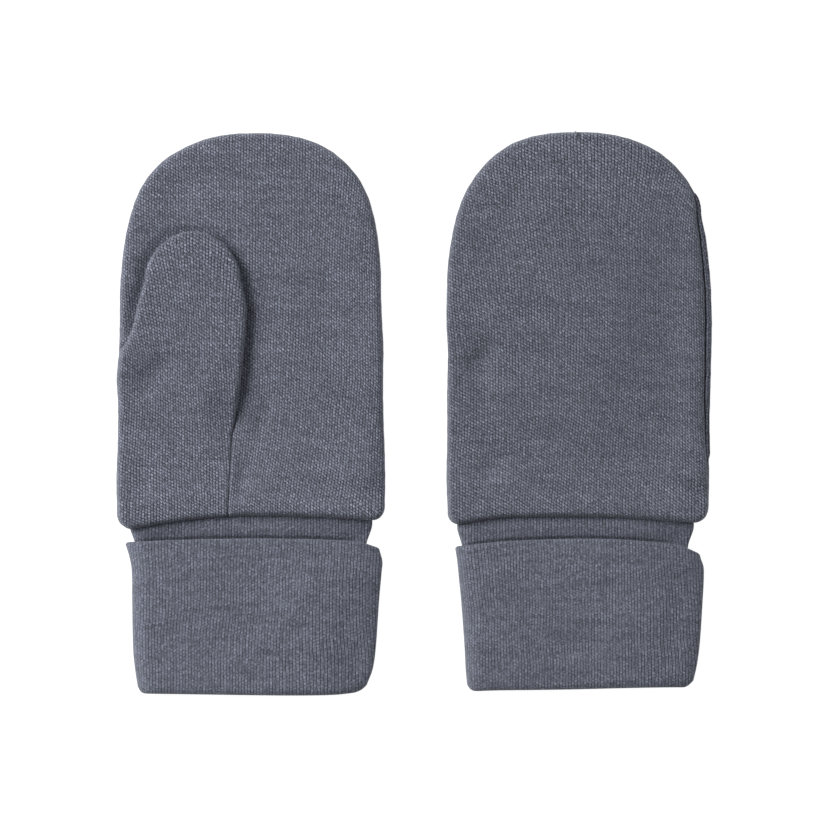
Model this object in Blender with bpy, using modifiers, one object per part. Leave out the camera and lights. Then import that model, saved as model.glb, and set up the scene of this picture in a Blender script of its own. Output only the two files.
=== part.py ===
"""Pair of knitted mittens with turned-up cuffs, laid flat side by side.

Sizes in the tables are millimetres and the meshes are written in metres. X runs across both
mittens, Y runs from the cuffs to the finger tips and Z is up. Each mitten's own table is measured
from its middle line. The left one lies palm up with its thumb on top. The right one lies back up
with its thumb underneath. Both rest on Z = 0.
"""

import math
from collections import namedtuple

import bmesh
import bpy

MM = 0.001
COLLECTION = "pair_of_mittens"
PAIR_MIDDLE_Y = 0.33

# Cloth
CLOTH = 1.1
CUFF_CLOTH = 1.8
GAP = 0.3

# Heights of the flat hand, of its plump hem and of the thumb
HAND_HEIGHT = 5.0
HEM_HEIGHT = 9.4
THUMB_HEIGHT = 3.6
BULGE_HEIGHT = 2.0
RISE_START_Y = -3.0
RISE_END_Y = -27.0
EDGE_HALF_GAP = 0.38
SEAM_SINK = 0.35
SEAM_WIDTH = 0.9

# Rounded edges of the panels
RIM_WIDTH = 2.4
RIM_ANGLES = (0.0, 14.0, 48.0, 90.0)

# Hand outline
ARCH_BASE_Y = 34.7
ARCH_EXPONENT = 2.5
LOWEST_ROW_Y = -9.0
Side = namedtuple("Side", "y left right")
HemPoint = namedtuple("HemPoint", "x y")
LEFT_SIDES = (
    Side(34.7, -36.5, 36.5),
    Side(26.3, -36.4, 36.7),
    Side(17.9, -36.7, 37.0),
    Side(10.0, -37.3, 37.0),
    Side(3.9, -37.0, 37.0),
    Side(-10.0, -37.0, 37.4),
    Side(-18.5, -37.5, 37.6),
    Side(-27.5, -37.4, 37.6),
)
RIGHT_SIDES = (
    Side(34.7, -36.8, 36.8),
    Side(26.3, -36.9, 37.0),
    Side(17.9, -36.6, 36.9),
    Side(10.0, -36.6, 36.8),
    Side(3.9, -36.7, 36.5),
    Side(-10.0, -36.8, 36.3),
    Side(-18.5, -37.0, 36.7),
    Side(-27.5, -36.6, 36.6),
)
LEFT_HEM = (
    HemPoint(-35.0, -31.7),
    HemPoint(-20.0, -29.6),
    HemPoint(-6.0, -28.1),
    HemPoint(14.0, -28.2),
    HemPoint(34.0, -29.7),
)
RIGHT_HEM = (
    HemPoint(-34.5, -30.5),
    HemPoint(-22.0, -28.6),
    HemPoint(-9.0, -28.0),
    HemPoint(10.0, -28.3),
    HemPoint(34.0, -29.3),
)

# The right mitten is rolled a little: its palm wraps up round the right side to the back's edge
WRAP_INSET = 1.6
WRAP_ANGLE = 70.0
WRAP_STEPS = (1.0, 0.5)

# Thumb, the same on both mittens: its free edges, then the seam down to the hem
THUMB_TIP_Y = 51.1
THUMB_TIP_EXPONENT = 1.9
CROTCH_Y = 17.1
FOLD_Y = 18.4
THUMB_ROWS = (
    Side(37.2, -29.4, -2.4),
    Side(30.0, -31.4, -0.9),
    Side(24.1, -32.8, -1.1),
    Side(20.2, -34.6, -1.4),
    Side(18.4, -36.0, -1.6),
    Side(17.1, -36.7, -1.7),
    Side(10.4, -37.3, -2.4),
    Side(4.3, -37.0, -3.2),
    Side(-2.0, -37.0, -4.2),
    Side(-6.4, -37.0, -5.0),
    Side(-16.2, -37.3, -5.6),
    Side(-30.0, -37.4, -6.2),
)
# How far each edge of the thumb panel has left the hand: 0 on the seam, 1 at mid thumb
Lift = namedtuple("Lift", "y share")
LEFT_LIFT = (Lift(30.0, 1.0), Lift(22.1, 0.86), Lift(18.4, 0.6), Lift(17.1, 0.0))
RIGHT_LIFT = (Lift(9.0, 1.0), Lift(5.0, 0.75), Lift(1.7, 0.4), Lift(-4.0, 0.0))
RIGHT_WRAP = (Lift(62.0, 0.0), Lift(50.0, 0.7), Lift(30.0, 1.0), Lift(-14.0, 1.0), Lift(-23.0, 0.0))
NO_WRAP = (Lift(1.0, 0.0), Lift(0.0, 0.0))
CROTCH_LEFT = HemPoint(-36.6, 18.4)
CROTCH_RIGHT = HemPoint(-3.9, 1.7)
RAMP_BELOW = 18.0
RAMP_ABOVE = 6.0
LIFT_MARGIN = 2.5
LIFT_FADE = 9.0
BULGE_FADE = 14.0
UNDERSIDE_BLEND = 0.26
UNDERSIDE_INSET = 2.0

# Cuff: a tube that leaves the hem as the neck, goes down and is turned up at its lower end
Ring = namedtuple("Ring", "y left right middle")
SLIT = 0.6
STACK_MIDDLE = 2 * CUFF_CLOTH + GAP + SLIT / 2
FOLD_RADIUS = CUFF_CLOTH + GAP / 2
CUFF_SIDE_ROUND = 3.2
NECK_HALF = CUFF_CLOTH + SLIT / 2
NECK_HEM_MIDDLE = 5.2
Fold = namedtuple("Fold", "angle left right")
LEFT_NECK = (
    Ring(-25.0, -33.0, 32.8, NECK_HEM_MIDDLE),
    Ring(-31.5, -34.0, 33.7, NECK_HEM_MIDDLE),
    Ring(-36.5, -31.6, 32.6, 4.5),
    Ring(-42.0, -31.2, 32.2, STACK_MIDDLE),
    Ring(-58.0, -30.6, 31.4, STACK_MIDDLE),
    Ring(-70.0, -29.8, 30.4, STACK_MIDDLE),
)
LEFT_FOLD = (
    Fold(0.0, -28.2, 27.2),
    Fold(45.0, -28.6, 27.7),
    Fold(90.0, -29.3, 28.9),
    Fold(135.0, -30.6, 31.1),
)
LEFT_TURN_UP = (
    Ring(-76.4, -31.4, 32.7, STACK_MIDDLE),
    Ring(-72.0, -32.1, 34.3, STACK_MIDDLE),
    Ring(-66.0, -32.7, 35.2, STACK_MIDDLE),
    Ring(-52.0, -33.0, 36.2, STACK_MIDDLE),
    Ring(-44.0, -33.1, 36.9, STACK_MIDDLE),
    Ring(-40.5, -33.7, 36.9, STACK_MIDDLE),
    Ring(-37.0, -34.4, 35.6, STACK_MIDDLE),
)
LEFT_TOP_EDGE = (
    HemPoint(-34.4, -36.7),
    HemPoint(-15.0, -35.8),
    HemPoint(10.0, -35.6),
    HemPoint(30.0, -36.4),
    HemPoint(35.8, -38.4),
)
RIGHT_NECK = (
    Ring(-25.0, -33.0, 31.4, NECK_HEM_MIDDLE),
    Ring(-31.5, -34.0, 32.2, NECK_HEM_MIDDLE),
    Ring(-36.5, -32.7, 29.6, 4.5),
    Ring(-42.0, -31.6, 30.6, STACK_MIDDLE),
    Ring(-58.0, -30.2, 30.8, STACK_MIDDLE),
    Ring(-70.0, -28.8, 30.4, STACK_MIDDLE),
)
RIGHT_FOLD = (
    Fold(0.0, -27.4, 28.0),
    Fold(45.0, -27.8, 28.4),
    Fold(90.0, -28.6, 29.3),
    Fold(135.0, -30.2, 30.8),
)
RIGHT_TURN_UP = (
    Ring(-75.1, -31.2, 32.2, STACK_MIDDLE),
    Ring(-71.0, -31.6, 33.1, STACK_MIDDLE),
    Ring(-64.0, -32.0, 34.0, STACK_MIDDLE),
    Ring(-52.0, -32.9, 34.8, STACK_MIDDLE),
    Ring(-46.0, -33.5, 35.1, STACK_MIDDLE),
    Ring(-41.5, -34.0, 35.0, STACK_MIDDLE),
    Ring(-38.5, -34.5, 34.1, STACK_MIDDLE),
)
RIGHT_TOP_EDGE = (
    HemPoint(-34.6, -37.6),
    HemPoint(-18.0, -36.2),
    HemPoint(8.0, -35.7),
    HemPoint(28.0, -36.9),
    HemPoint(34.4, -39.2),
)
TOP_EDGE_REACH = 9.0
CUFF_FLAT_POINTS = 7
CUFF_ROUND_POINTS = 3

Mitten = namedtuple(
    "Mitten",
    "name x thumb_up sides hem left_corner right_corner arch_rise arch_skew"
    " wrap neck fold turn_up top_edge",
)
LEFT = Mitten("left", -45.75, True, LEFT_SIDES, LEFT_HEM, 2.8, 2.7, 44.0, 1.3,
              NO_WRAP, LEFT_NECK, LEFT_FOLD, LEFT_TURN_UP, LEFT_TOP_EDGE)
RIGHT = Mitten("right", 46.25, False, RIGHT_SIDES, RIGHT_HEM, 2.8, 2.7, 44.3, -0.4,
               RIGHT_WRAP, RIGHT_NECK, RIGHT_FOLD, RIGHT_TURN_UP, RIGHT_TOP_EDGE)

COLOURS = {
    "back": (0.119, 0.128, 0.158),
    "palm": (0.130, 0.140, 0.172),
    "thumb": (0.126, 0.134, 0.166),
    "thumb_inner": (0.118, 0.126, 0.156),
    "cuff": (0.125, 0.134, 0.165),
}


def ease(share):
    """Soft step from 0 to 1."""
    share = min(max(share, 0.0), 1.0)
    return share * share * (3.0 - 2.0 * share)


def table_value(rows, key, place, column):
    """Reads one column of a table at a place along its key column, with soft bends."""
    points = sorted((getattr(row, key), getattr(row, column)) for row in rows)
    if place <= points[0][0]:
        return points[0][1]
    for index in range(len(points) - 1):
        (k0, v0), (k1, v1) = points[index], points[index + 1]
        if place <= k1:
            before = points[max(index - 1, 0)]
            after = points[min(index + 2, len(points) - 1)]
            slope0 = (v1 - before[1]) / (k1 - before[0])
            slope1 = (after[1] - v0) / (after[0] - k0)
            span = k1 - k0
            t = (place - k0) / span
            return (
                (2 * t**3 - 3 * t**2 + 1) * v0
                + (t**3 - 2 * t**2 + t) * span * slope0
                + (3 * t**2 - 2 * t**3) * v1
                + (t**3 - t**2) * span * slope1
            )
    return points[-1][1]


def straight_value(rows, place):
    """Reads the share column of a lift table, in straight steps along y."""
    points = sorted((row.y, row.share) for row in rows)
    for (y0, share0), (y1, share1) in zip(points, points[1:]):
        if place <= y1:
            return share0 + (share1 - share0) * max(place - y0, 0.0) / (y1 - y0)
    return points[-1][1]


def spread(start, end, count):
    """Evenly spaced values, both ends included."""
    return [start + (end - start) * i / (count - 1) for i in range(count)]


def half_superellipse(left, right, base_y, top_y, exponent, skew, count):
    """Points over an arch from left to right, without the two at its base."""
    middle, half = (left + right) / 2, (right - left) / 2
    points = []
    for angle in spread(180.0, 0.0, count + 2)[1:-1]:
        across, up = math.cos(math.radians(angle)), math.sin(math.radians(angle))
        x = math.copysign(abs(across) ** (2 / exponent), across)
        y = up ** (2 / exponent)
        points.append((middle + half * x + skew * y, base_y + (top_y - base_y) * y))
    return points


def quarter_arc(centre, radius, start, end, count):
    """Points of an arc about a centre, from one angle to another in degrees."""
    return [
        (
            centre[0] + radius * math.cos(math.radians(angle)),
            centre[1] + radius * math.sin(math.radians(angle)),
        )
        for angle in spread(start, end, count)
    ]


def side_x(mitten, y, column):
    return table_value(mitten.sides, "y", y, column)


def hem_y(mitten, x):
    return table_value(mitten.hem, "x", x, "y")


def thumb_x(mitten, y, column):
    """Edge of the thumb panel: the hand's own side below the crotch on the left."""
    if column == "left" and y <= CROTCH_Y:
        return side_x(mitten, y, "left")
    return table_value(THUMB_ROWS, "y", y, column)


def corner_left(mitten):
    """Left end of the hem, from the hem line up to the side."""
    radius = mitten.left_corner
    x = side_x(mitten, RISE_END_Y, "left") + radius
    return quarter_arc((x, hem_y(mitten, x) + radius), radius, 270.0, 180.0, 4)


def corner_right(mitten):
    """Right end of the hem, from the side down to the hem line."""
    radius = mitten.right_corner
    x = side_x(mitten, RISE_END_Y, "right") - radius
    return quarter_arc((x, hem_y(mitten, x) + radius), radius, 0.0, -90.0, 4)


def crotch_side(x, y):
    """Distance above the crotch line, which runs down to the right."""
    along_x = CROTCH_RIGHT.x - CROTCH_LEFT.x
    along_y = CROTCH_RIGHT.y - CROTCH_LEFT.y
    cross = along_x * (y - CROTCH_LEFT.y) - along_y * (x - CROTCH_LEFT.x)
    return cross / math.hypot(along_x, along_y)


def outside_thumb(x, y):
    """Distance outside the free thumb, 0 within it."""
    base_y = THUMB_ROWS[0].y
    middle = (THUMB_ROWS[0].left + THUMB_ROWS[0].right) / 2
    half = (THUMB_ROWS[0].right - THUMB_ROWS[0].left) / 2
    if y > base_y:
        return max(math.hypot(x - middle, y - base_y) - half, 0.0)
    left = table_value(THUMB_ROWS, "y", y, "left")
    right = table_value(THUMB_ROWS, "y", y, "right")
    beside = max(left - x, x - right, 0.0)
    below = max(-crotch_side(x, y), 0.0)
    return math.hypot(beside, below)


def hand_rise(y):
    """How the flat hand grows thicker towards its hem."""
    share = ease((RISE_START_Y - y) / (RISE_START_Y - RISE_END_Y))
    return (HEM_HEIGHT - HAND_HEIGHT) * share


def top_level(mitten, x, y):
    """Height of the upper panel's face away from its edges."""
    level = HAND_HEIGHT + hand_rise(y)
    if not mitten.thumb_up:
        fade = 1.0 - ease((outside_thumb(x, y) - LIFT_MARGIN) / BULGE_FADE)
        level = max(level, HAND_HEIGHT + BULGE_HEIGHT * fade + 0.5 * hand_rise(y))
    return level


def low_level(mitten, x, y):
    """Height of the lower panel's face, lifted over a thumb that lies beneath."""
    if mitten.thumb_up:
        return 0.0
    fade = 1.0 - ease((outside_thumb(x, y) - LIFT_MARGIN) / LIFT_FADE)
    return (THUMB_HEIGHT + 2 * GAP) * fade


def seam_height(mitten, x, y):
    return (top_level(mitten, x, y) + low_level(mitten, x, y)) / 2


def hand_edge(mitten, x, y, up):
    """Height of a panel's edge on the hand's outline: the side seam, or the neck at the hem."""
    sign = 1.0 if up else -1.0
    at_side = seam_height(mitten, x, y) + sign * EDGE_HALF_GAP
    at_hem = NECK_HEM_MIDDLE + sign * (NECK_HALF + GAP)
    share = ease((hem_y(mitten, x) + mitten.left_corner - y) / mitten.left_corner)
    return at_side + (at_hem - at_side) * share


def wrap_share(mitten, x, y):
    """How far the lower panel wraps round the right side here, 0 to 1."""
    return straight_value(mitten.wrap, y) if x > 0.0 else 0.0


def back_outline(mitten, x, y, up):
    """Outline point of the back, drawn in from the side where the palm wraps round it."""
    share = wrap_share(mitten, x, y)
    edge = hand_edge(mitten, x, y, up)
    inner = x - (WRAP_INSET + 2 * GAP) * share
    return (inner, y, edge + (top_level(mitten, inner, y) - SEAM_SINK - edge) * share, RIM_WIDTH)


def panel_edge(mitten, x, y, up):
    """Height of the palm and thumb panels' edges where they are sewn to each other."""
    level = top_level(mitten, x, y) - SEAM_SINK if up else low_level(mitten, x, y) + SEAM_SINK
    at_hem = hand_edge(mitten, x, hem_y(mitten, x), up)
    share = ease((hem_y(mitten, x) + RIM_WIDTH - y) / RIM_WIDTH)
    return level + (at_hem - level) * share


def thumb_level(mitten, x, y):
    """Outer face of the thumb panel: it climbs from the palm onto the thumb."""
    if not mitten.thumb_up:
        return 0.0
    climb = ease((crotch_side(x, y) + RAMP_BELOW) / (RAMP_BELOW + RAMP_ABOVE))
    return HAND_HEIGHT + hand_rise(y) + (THUMB_HEIGHT + GAP) * climb


def thumb_middle(mitten):
    return HAND_HEIGHT + GAP + THUMB_HEIGHT / 2 if mitten.thumb_up else THUMB_HEIGHT / 2


def thumb_edge(mitten, x, y, column, outer):
    """Height of the thumb's seam, which climbs from the hand to the middle of the thumb."""
    up = mitten.thumb_up == outer
    sign = 1.0 if up else -1.0
    if column == "left":
        base = seam_height(mitten, x, y)
        share = straight_value(LEFT_LIFT, y)
    else:
        base = panel_edge(mitten, x, y, mitten.thumb_up) - sign * EDGE_HALF_GAP
        share = straight_value(RIGHT_LIFT, y)
    return base + (thumb_middle(mitten) - base) * share + sign * EDGE_HALF_GAP


def mesh_object(mitten, part, bm, thickness):
    """Turns a surface into a named wall of cloth; its outer side is where its normals point."""
    name = f"{mitten.name}_{part}"
    mesh = bpy.data.meshes.new(name)
    bmesh.ops.scale(bm, vec=(MM, MM, MM), verts=bm.verts)
    bm.to_mesh(mesh)
    bm.free()
    mesh.shade_smooth()
    material = bpy.data.materials.new(f"{name}_knit")
    material.use_nodes = True
    shader = material.node_tree.nodes["Principled BSDF"]
    shader.inputs["Base Color"].default_value = (*COLOURS[part], 1.0)
    shader.inputs["Roughness"].default_value = 0.9
    shader.inputs["Metallic"].default_value = 0.0
    mesh.materials.append(material)
    cloth = bpy.data.objects.new(name, mesh)
    cloth.location = (mitten.x * MM, -PAIR_MIDDLE_Y * MM, 0.0)
    wall = cloth.modifiers.new("cloth", "SOLIDIFY")
    wall.thickness = thickness * MM
    wall.offset = -1.0
    bpy.data.collections[COLLECTION].objects.link(cloth)
    return cloth


def panel(mitten, part, loop, centres, level, up, inner_rings):
    """Cloth panel from its outline, a clockwise loop of (x, y, edge height, edge width).

    Rings run in from the outline: first over the rounded edge, then in even steps to the
    centre point of each outline point. A lower palm has rings for its wrap ahead of those,
    which merge with the outline where it doesn't wrap.
    """
    bm = bmesh.new()
    rings = []
    count = len(loop)
    wrap = math.radians(WRAP_ANGLE)
    wrap_steps = WRAP_STEPS if part == "palm" and not up else ()
    for index, (x, y, edge, width) in enumerate(loop):
        before, after = loop[index - 1], loop[(index + 1) % count]
        along_x, along_y = after[0] - before[0], after[1] - before[1]
        length = math.hypot(along_x, along_y)
        in_x, in_y = along_y / length, -along_x / length
        spoke = []
        for step in wrap_steps:
            share = wrap_share(mitten, x, y)
            inward = WRAP_INSET * share * (1 - math.cos(wrap * step)) / (1 - math.cos(wrap))
            rise = (top_level(mitten, x, y) - SEAM_SINK - edge) * share
            rise *= math.sin(wrap * step) / math.sin(wrap)
            spoke.append((x + in_x * inward, y + in_y * inward, edge + rise))
        for angle in RIM_ANGLES:
            inward = width * (1.0 - math.cos(math.radians(angle)))
            px, py = x + in_x * inward, y + in_y * inward
            climb = math.sin(math.radians(angle))
            spoke.append((px, py, edge + (level(px, py) - edge) * climb))
        start = spoke[-1]
        for ring in range(1, inner_rings + 1):
            share = ring / inner_rings
            px = start[0] + (centres[index][0] - start[0]) * share
            py = start[1] + (centres[index][1] - start[1]) * share
            spoke.append((px, py, level(px, py)))
        rings.append([bm.verts.new(point) for point in spoke])
    for index in range(count):
        here, there = rings[index], rings[(index + 1) % count]
        for ring in range(len(here) - 1):
            corners = [here[ring], there[ring], there[ring + 1], here[ring + 1]]
            bm.faces.new(corners[::-1] if up else corners)
    bmesh.ops.remove_doubles(bm, verts=bm.verts, dist=GAP / 10)
    bm.normal_update()
    upward = sum(face.normal.z * face.calc_area() for face in bm.faces)
    if (upward > 0.0) != up:
        bmesh.ops.reverse_faces(bm, faces=bm.faces)
    return mesh_object(mitten, part, bm, CLOTH)


def middle(left, right):
    return ((left[0] + right[0]) / 2, (left[1] + right[1]) / 2)


def close_loop(lefts, top, rights, bottom):
    """Joins left and right rows with a fan above and one below; gives the loop and centres."""
    spine = [middle(left, right) for left, right in zip(lefts, rights)]
    loop = [*lefts, *top, *rights[::-1], *bottom]
    centres = [*spine, *[spine[-1]] * len(top), *spine[::-1], *[spine[0]] * len(bottom)]
    return loop, centres


def hand_rows():
    return spread(LOWEST_ROW_Y, ARCH_BASE_Y, 7)


def arch(mitten, count):
    return half_superellipse(
        side_x(mitten, ARCH_BASE_Y, "left"), side_x(mitten, ARCH_BASE_Y, "right"),
        ARCH_BASE_Y, ARCH_BASE_Y + mitten.arch_rise, ARCH_EXPONENT, mitten.arch_skew, count,
    )


def back_panel(mitten):
    up = not mitten.thumb_up
    ys = hand_rows()
    hem = [(x, hem_y(mitten, x)) for x in spread(30.0, -30.0, 8)]
    low_right = [(side_x(mitten, -18.0, "right"), -18.0), *corner_right(mitten)]
    low_left = [*corner_left(mitten), (side_x(mitten, -18.0, "left"), -18.0)]
    flat_loop, centres = close_loop(
        [(side_x(mitten, y, "left"), y) for y in ys],
        arch(mitten, 19),
        [(side_x(mitten, y, "right"), y) for y in ys],
        [*low_right, *hem, *low_left],
    )
    loop = [back_outline(mitten, x, y, up) for x, y in flat_loop]
    rings = 2 if mitten.thumb_up else 5
    return panel(mitten, "back", loop, centres, lambda x, y: top_level(mitten, x, y) if up else 0.0,
                 up, rings)


def palm_panel(mitten):
    """Palm: its lower left is cut along the crotch line and the seam beside the thumb panel."""
    up = mitten.thumb_up
    level = top_level if up else low_level
    fold_ys = spread(CROTCH_RIGHT.y, CROTCH_LEFT.y, 5)
    upper_ys = spread(CROTCH_LEFT.y + 1.0, ARCH_BASE_Y, 4)
    seam_ys = spread(LOWEST_ROW_Y - 2.0, CROTCH_RIGHT.y - 3.0, 3)

    def seam_point(y):
        x = thumb_x(mitten, y, "right") + GAP
        return (x, y, panel_edge(mitten, x, y, up), SEAM_WIDTH)

    def fold_point(y):
        share = (y - CROTCH_RIGHT.y) / (CROTCH_LEFT.y - CROTCH_RIGHT.y)
        x = CROTCH_RIGHT.x + (CROTCH_LEFT.x - CROTCH_RIGHT.x) * share + GAP
        return (x, y, level(mitten, x, y), SEAM_WIDTH)

    def outer_point(x, y):
        return (x, y, hand_edge(mitten, x, y, up), RIM_WIDTH)

    def side_point(y, column):
        return outer_point(side_x(mitten, y, column), y)

    lefts = [seam_point(y) for y in seam_ys]
    lefts += [fold_point(y) for y in fold_ys]
    lefts += [side_point(y, "left") for y in upper_ys]
    rights = [side_point(y, "right") for y in [*seam_ys, *fold_ys, *upper_ys]]
    top = [outer_point(x, y) for x, y in arch(mitten, 19)]
    hem = [(x, hem_y(mitten, x)) for x in spread(30.0, 0.0, 5)]
    low_right = [(side_x(mitten, -18.0, "right"), -18.0), *corner_right(mitten), *hem]
    seam_end = thumb_x(mitten, RISE_END_Y, "right") + GAP
    bottom = [outer_point(x, y) for x, y in [*low_right, (seam_end, hem_y(mitten, seam_end))]]
    bottom += [seam_point(-24.5), seam_point(-19.0)]
    loop, centres = close_loop(lefts, top, rights, bottom)
    return panel(mitten, "palm", loop, centres, lambda x, y: level(mitten, x, y), up, 3 if up else 5)


def thumb_arch(mitten, count):
    row = THUMB_ROWS[0]
    return half_superellipse(row.left, row.right, row.y, THUMB_TIP_Y, THUMB_TIP_EXPONENT, 0.0, count)


def thumb_panel(mitten):
    """Outer half of the thumb with the lower left of the palm."""
    up = mitten.thumb_up
    ys = [-12.0, -6.0, 0.0, 4.5, 9.0, 13.0, CROTCH_Y, FOLD_Y, 20.2, 24.1, 30.0, THUMB_ROWS[0].y]

    def row_point(y, column):
        x = thumb_x(mitten, y, column)
        sewn_down = column == "right" and y < CROTCH_RIGHT.y
        width = SEAM_WIDTH if sewn_down else RIM_WIDTH
        return (x, y, thumb_edge(mitten, x, y, column, True), width)

    seam_end = thumb_x(mitten, RISE_END_Y, "right")
    hem = [(x, hem_y(mitten, x)) for x in (seam_end, seam_end - 7.0, seam_end - 15.0, -29.5)]
    low_left = [*corner_left(mitten), (side_x(mitten, -19.0, "left"), -19.0)]
    bottom = [row_point(-19.0, "right"), row_point(-24.5, "right")]
    bottom += [(x, y, hand_edge(mitten, x, y, up), RIM_WIDTH) for x, y in [*hem, *low_left]]
    seam = thumb_middle(mitten) + (EDGE_HALF_GAP if up else -EDGE_HALF_GAP)
    tip = [(x, y, seam, RIM_WIDTH) for x, y in thumb_arch(mitten, 9)]
    loop, centres = close_loop(
        [row_point(y, "left") for y in ys], tip, [row_point(y, "right") for y in ys], bottom
    )
    return panel(mitten, "thumb", loop, centres, lambda x, y: thumb_level(mitten, x, y), up, 2)


def thumb_underside(mitten):
    """Inner half of the thumb, which lies on the palm from the crotch line to the tip."""
    up = not mitten.thumb_up
    face = THUMB_HEIGHT if up else HAND_HEIGHT + GAP
    top_y = THUMB_ROWS[0].y

    def edge_point(step, start_y, column):
        y = start_y + (top_y - start_y) * step
        blend = ease(step / UNDERSIDE_BLEND)
        inset = UNDERSIDE_INSET * (1.0 - blend)
        x = table_value(THUMB_ROWS, "y", y, column)
        seam = thumb_edge(mitten, x, y, column, False)
        x += inset if column == "left" else -inset
        width = SEAM_WIDTH + (RIM_WIDTH - SEAM_WIDTH) * blend
        return (x, y, face + (seam - face) * blend, width)

    def row_points(start_y, column, steps):
        return [edge_point(step, start_y, column) for step in steps]

    left_start, right_start = CROTCH_LEFT.y + GAP, CROTCH_RIGHT.y + GAP
    seam = thumb_middle(mitten) + (EDGE_HALF_GAP if up else -EDGE_HALF_GAP)
    tip = [(x, y, seam, RIM_WIDTH) for x, y in thumb_arch(mitten, 9)]
    low_steps, steps = (0.0, 0.07, 0.15), spread(0.28, 1.0, 5)
    low_right = row_points(right_start, "right", low_steps)
    low_left = row_points(left_start, "left", low_steps)
    first, last = low_right[0], low_left[0]
    fold = [
        (first[0] + (last[0] - first[0]) * share, first[1] + (last[1] - first[1]) * share, face,
         SEAM_WIDTH)
        for share in spread(0.0, 1.0, 6)[1:-1]
    ]
    loop, centres = close_loop(
        row_points(left_start, "left", steps), tip,
        row_points(right_start, "right", steps), [*low_right[::-1], *fold, *low_left],
    )
    return panel(mitten, "thumb_inner", loop, centres, lambda x, y: face, up, 2)


def cuff_ring(left, right, centre_z, half, y_at):
    """One flattened ring of the cuff: across the top, round the right side, back underneath."""
    side = min(half, CUFF_SIDE_ROUND)
    flat = spread(left + side, right - side, CUFF_FLAT_POINTS)
    turn = spread(90.0, -90.0, CUFF_ROUND_POINTS + 2)[1:-1]
    points = [(x, centre_z + half) for x in flat]
    for angle in turn:
        across, rise = math.cos(math.radians(angle)), math.sin(math.radians(angle))
        points.append((right - side + side * across, centre_z + half * rise))
    points += [(x, centre_z - half) for x in flat[::-1]]
    for angle in turn[::-1]:
        across, rise = math.cos(math.radians(angle)), math.sin(math.radians(angle))
        points.append((left + side - side * across, centre_z + half * rise))
    return [(x, y_at(x), z) for x, z in points]


def cuff(mitten):
    """Neck, fold and turn-up in one tube: the neck's inner face runs on as the outer face."""
    rings = []
    for row in mitten.neck:
        rings.append(cuff_ring(row.left + CUFF_CLOTH, row.right - CUFF_CLOTH, row.middle,
                               SLIT / 2, lambda x, y=row.y: y))
    end_y = mitten.turn_up[0].y
    reach = end_y - cuff_end(mitten)
    for row in mitten.fold:
        angle = math.radians(row.angle)
        half = SLIT / 2 + FOLD_RADIUS * (1.0 - math.cos(angle))
        y = end_y - reach * math.sin(angle)
        rings.append(cuff_ring(row.left, row.right, STACK_MIDDLE, half, lambda x, y=y: y))
    half = SLIT / 2 + 2 * FOLD_RADIUS
    top_y = mitten.turn_up[-1].y
    for row in mitten.turn_up:
        share = ease(1.0 - (top_y - row.y) / TOP_EDGE_REACH)

        def edge_y(x, y=row.y, share=share):
            return y + share * (table_value(mitten.top_edge, "x", x, "y") - top_y)

        rings.append(cuff_ring(row.left, row.right, row.middle, half, edge_y))
    bm = bmesh.new()
    grid = [[bm.verts.new(point) for point in ring] for ring in rings]
    count = len(grid[0])
    for here, there in zip(grid, grid[1:]):
        for index in range(count):
            after = (index + 1) % count
            bm.faces.new([here[index], here[after], there[after], there[index]])
    bm.normal_update()
    top_face = max(bm.faces, key=lambda face: face.calc_center_median().z)
    if top_face.normal.z < 0.0:
        bmesh.ops.reverse_faces(bm, faces=bm.faces)
    return mesh_object(mitten, "cuff", bm, CUFF_CLOTH)


def cuff_end(mitten):
    return mitten.turn_up[0].y - FOLD_RADIUS


def build_mitten(mitten):
    back_panel(mitten)
    palm_panel(mitten)
    thumb_panel(mitten)
    thumb_underside(mitten)
    cuff(mitten)


def main():
    for leftover in list(bpy.data.objects):
        bpy.data.objects.remove(leftover, do_unlink=True)
    collection = bpy.data.collections.new(COLLECTION)
    bpy.context.scene.collection.children.link(collection)
    for mitten in (LEFT, RIGHT):
        build_mitten(mitten)


main()
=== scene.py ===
"""Pair of knitted mittens with turned-up cuffs, laid flat side by side and seen from above.

Sizes are millimetres in each mitten's own frame: x from its middle line, y towards the finger
tips, z up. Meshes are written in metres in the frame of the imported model. The tables of outlines
and heights follow the part's own, with small corrections; the cloth is a finer shell on that form.
"""

import math
from collections import namedtuple

import bpy
import numpy as np
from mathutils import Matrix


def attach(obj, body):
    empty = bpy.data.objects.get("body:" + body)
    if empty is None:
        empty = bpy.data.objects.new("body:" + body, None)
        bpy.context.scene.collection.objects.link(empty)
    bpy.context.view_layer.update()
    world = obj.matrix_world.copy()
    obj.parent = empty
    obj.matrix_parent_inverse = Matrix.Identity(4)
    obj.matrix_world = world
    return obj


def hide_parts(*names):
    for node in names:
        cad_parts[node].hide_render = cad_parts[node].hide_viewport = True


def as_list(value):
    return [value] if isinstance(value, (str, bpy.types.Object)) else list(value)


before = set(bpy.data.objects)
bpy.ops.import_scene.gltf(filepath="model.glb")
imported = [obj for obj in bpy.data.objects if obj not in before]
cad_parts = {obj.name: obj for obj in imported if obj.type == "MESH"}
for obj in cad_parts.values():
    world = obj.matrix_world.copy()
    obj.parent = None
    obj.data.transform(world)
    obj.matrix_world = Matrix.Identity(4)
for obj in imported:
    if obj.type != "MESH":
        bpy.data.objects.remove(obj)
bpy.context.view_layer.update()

MM = 0.001
PAIR_MIDDLE_Y = 0.33


def table(kind, *rows):
    """Rows of one kind, as a tuple."""
    return tuple(kind(*row) for row in rows)


# Cloth
CLOTH = 1.1
CUFF_CLOTH = 1.8
GAP = 0.1

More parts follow.
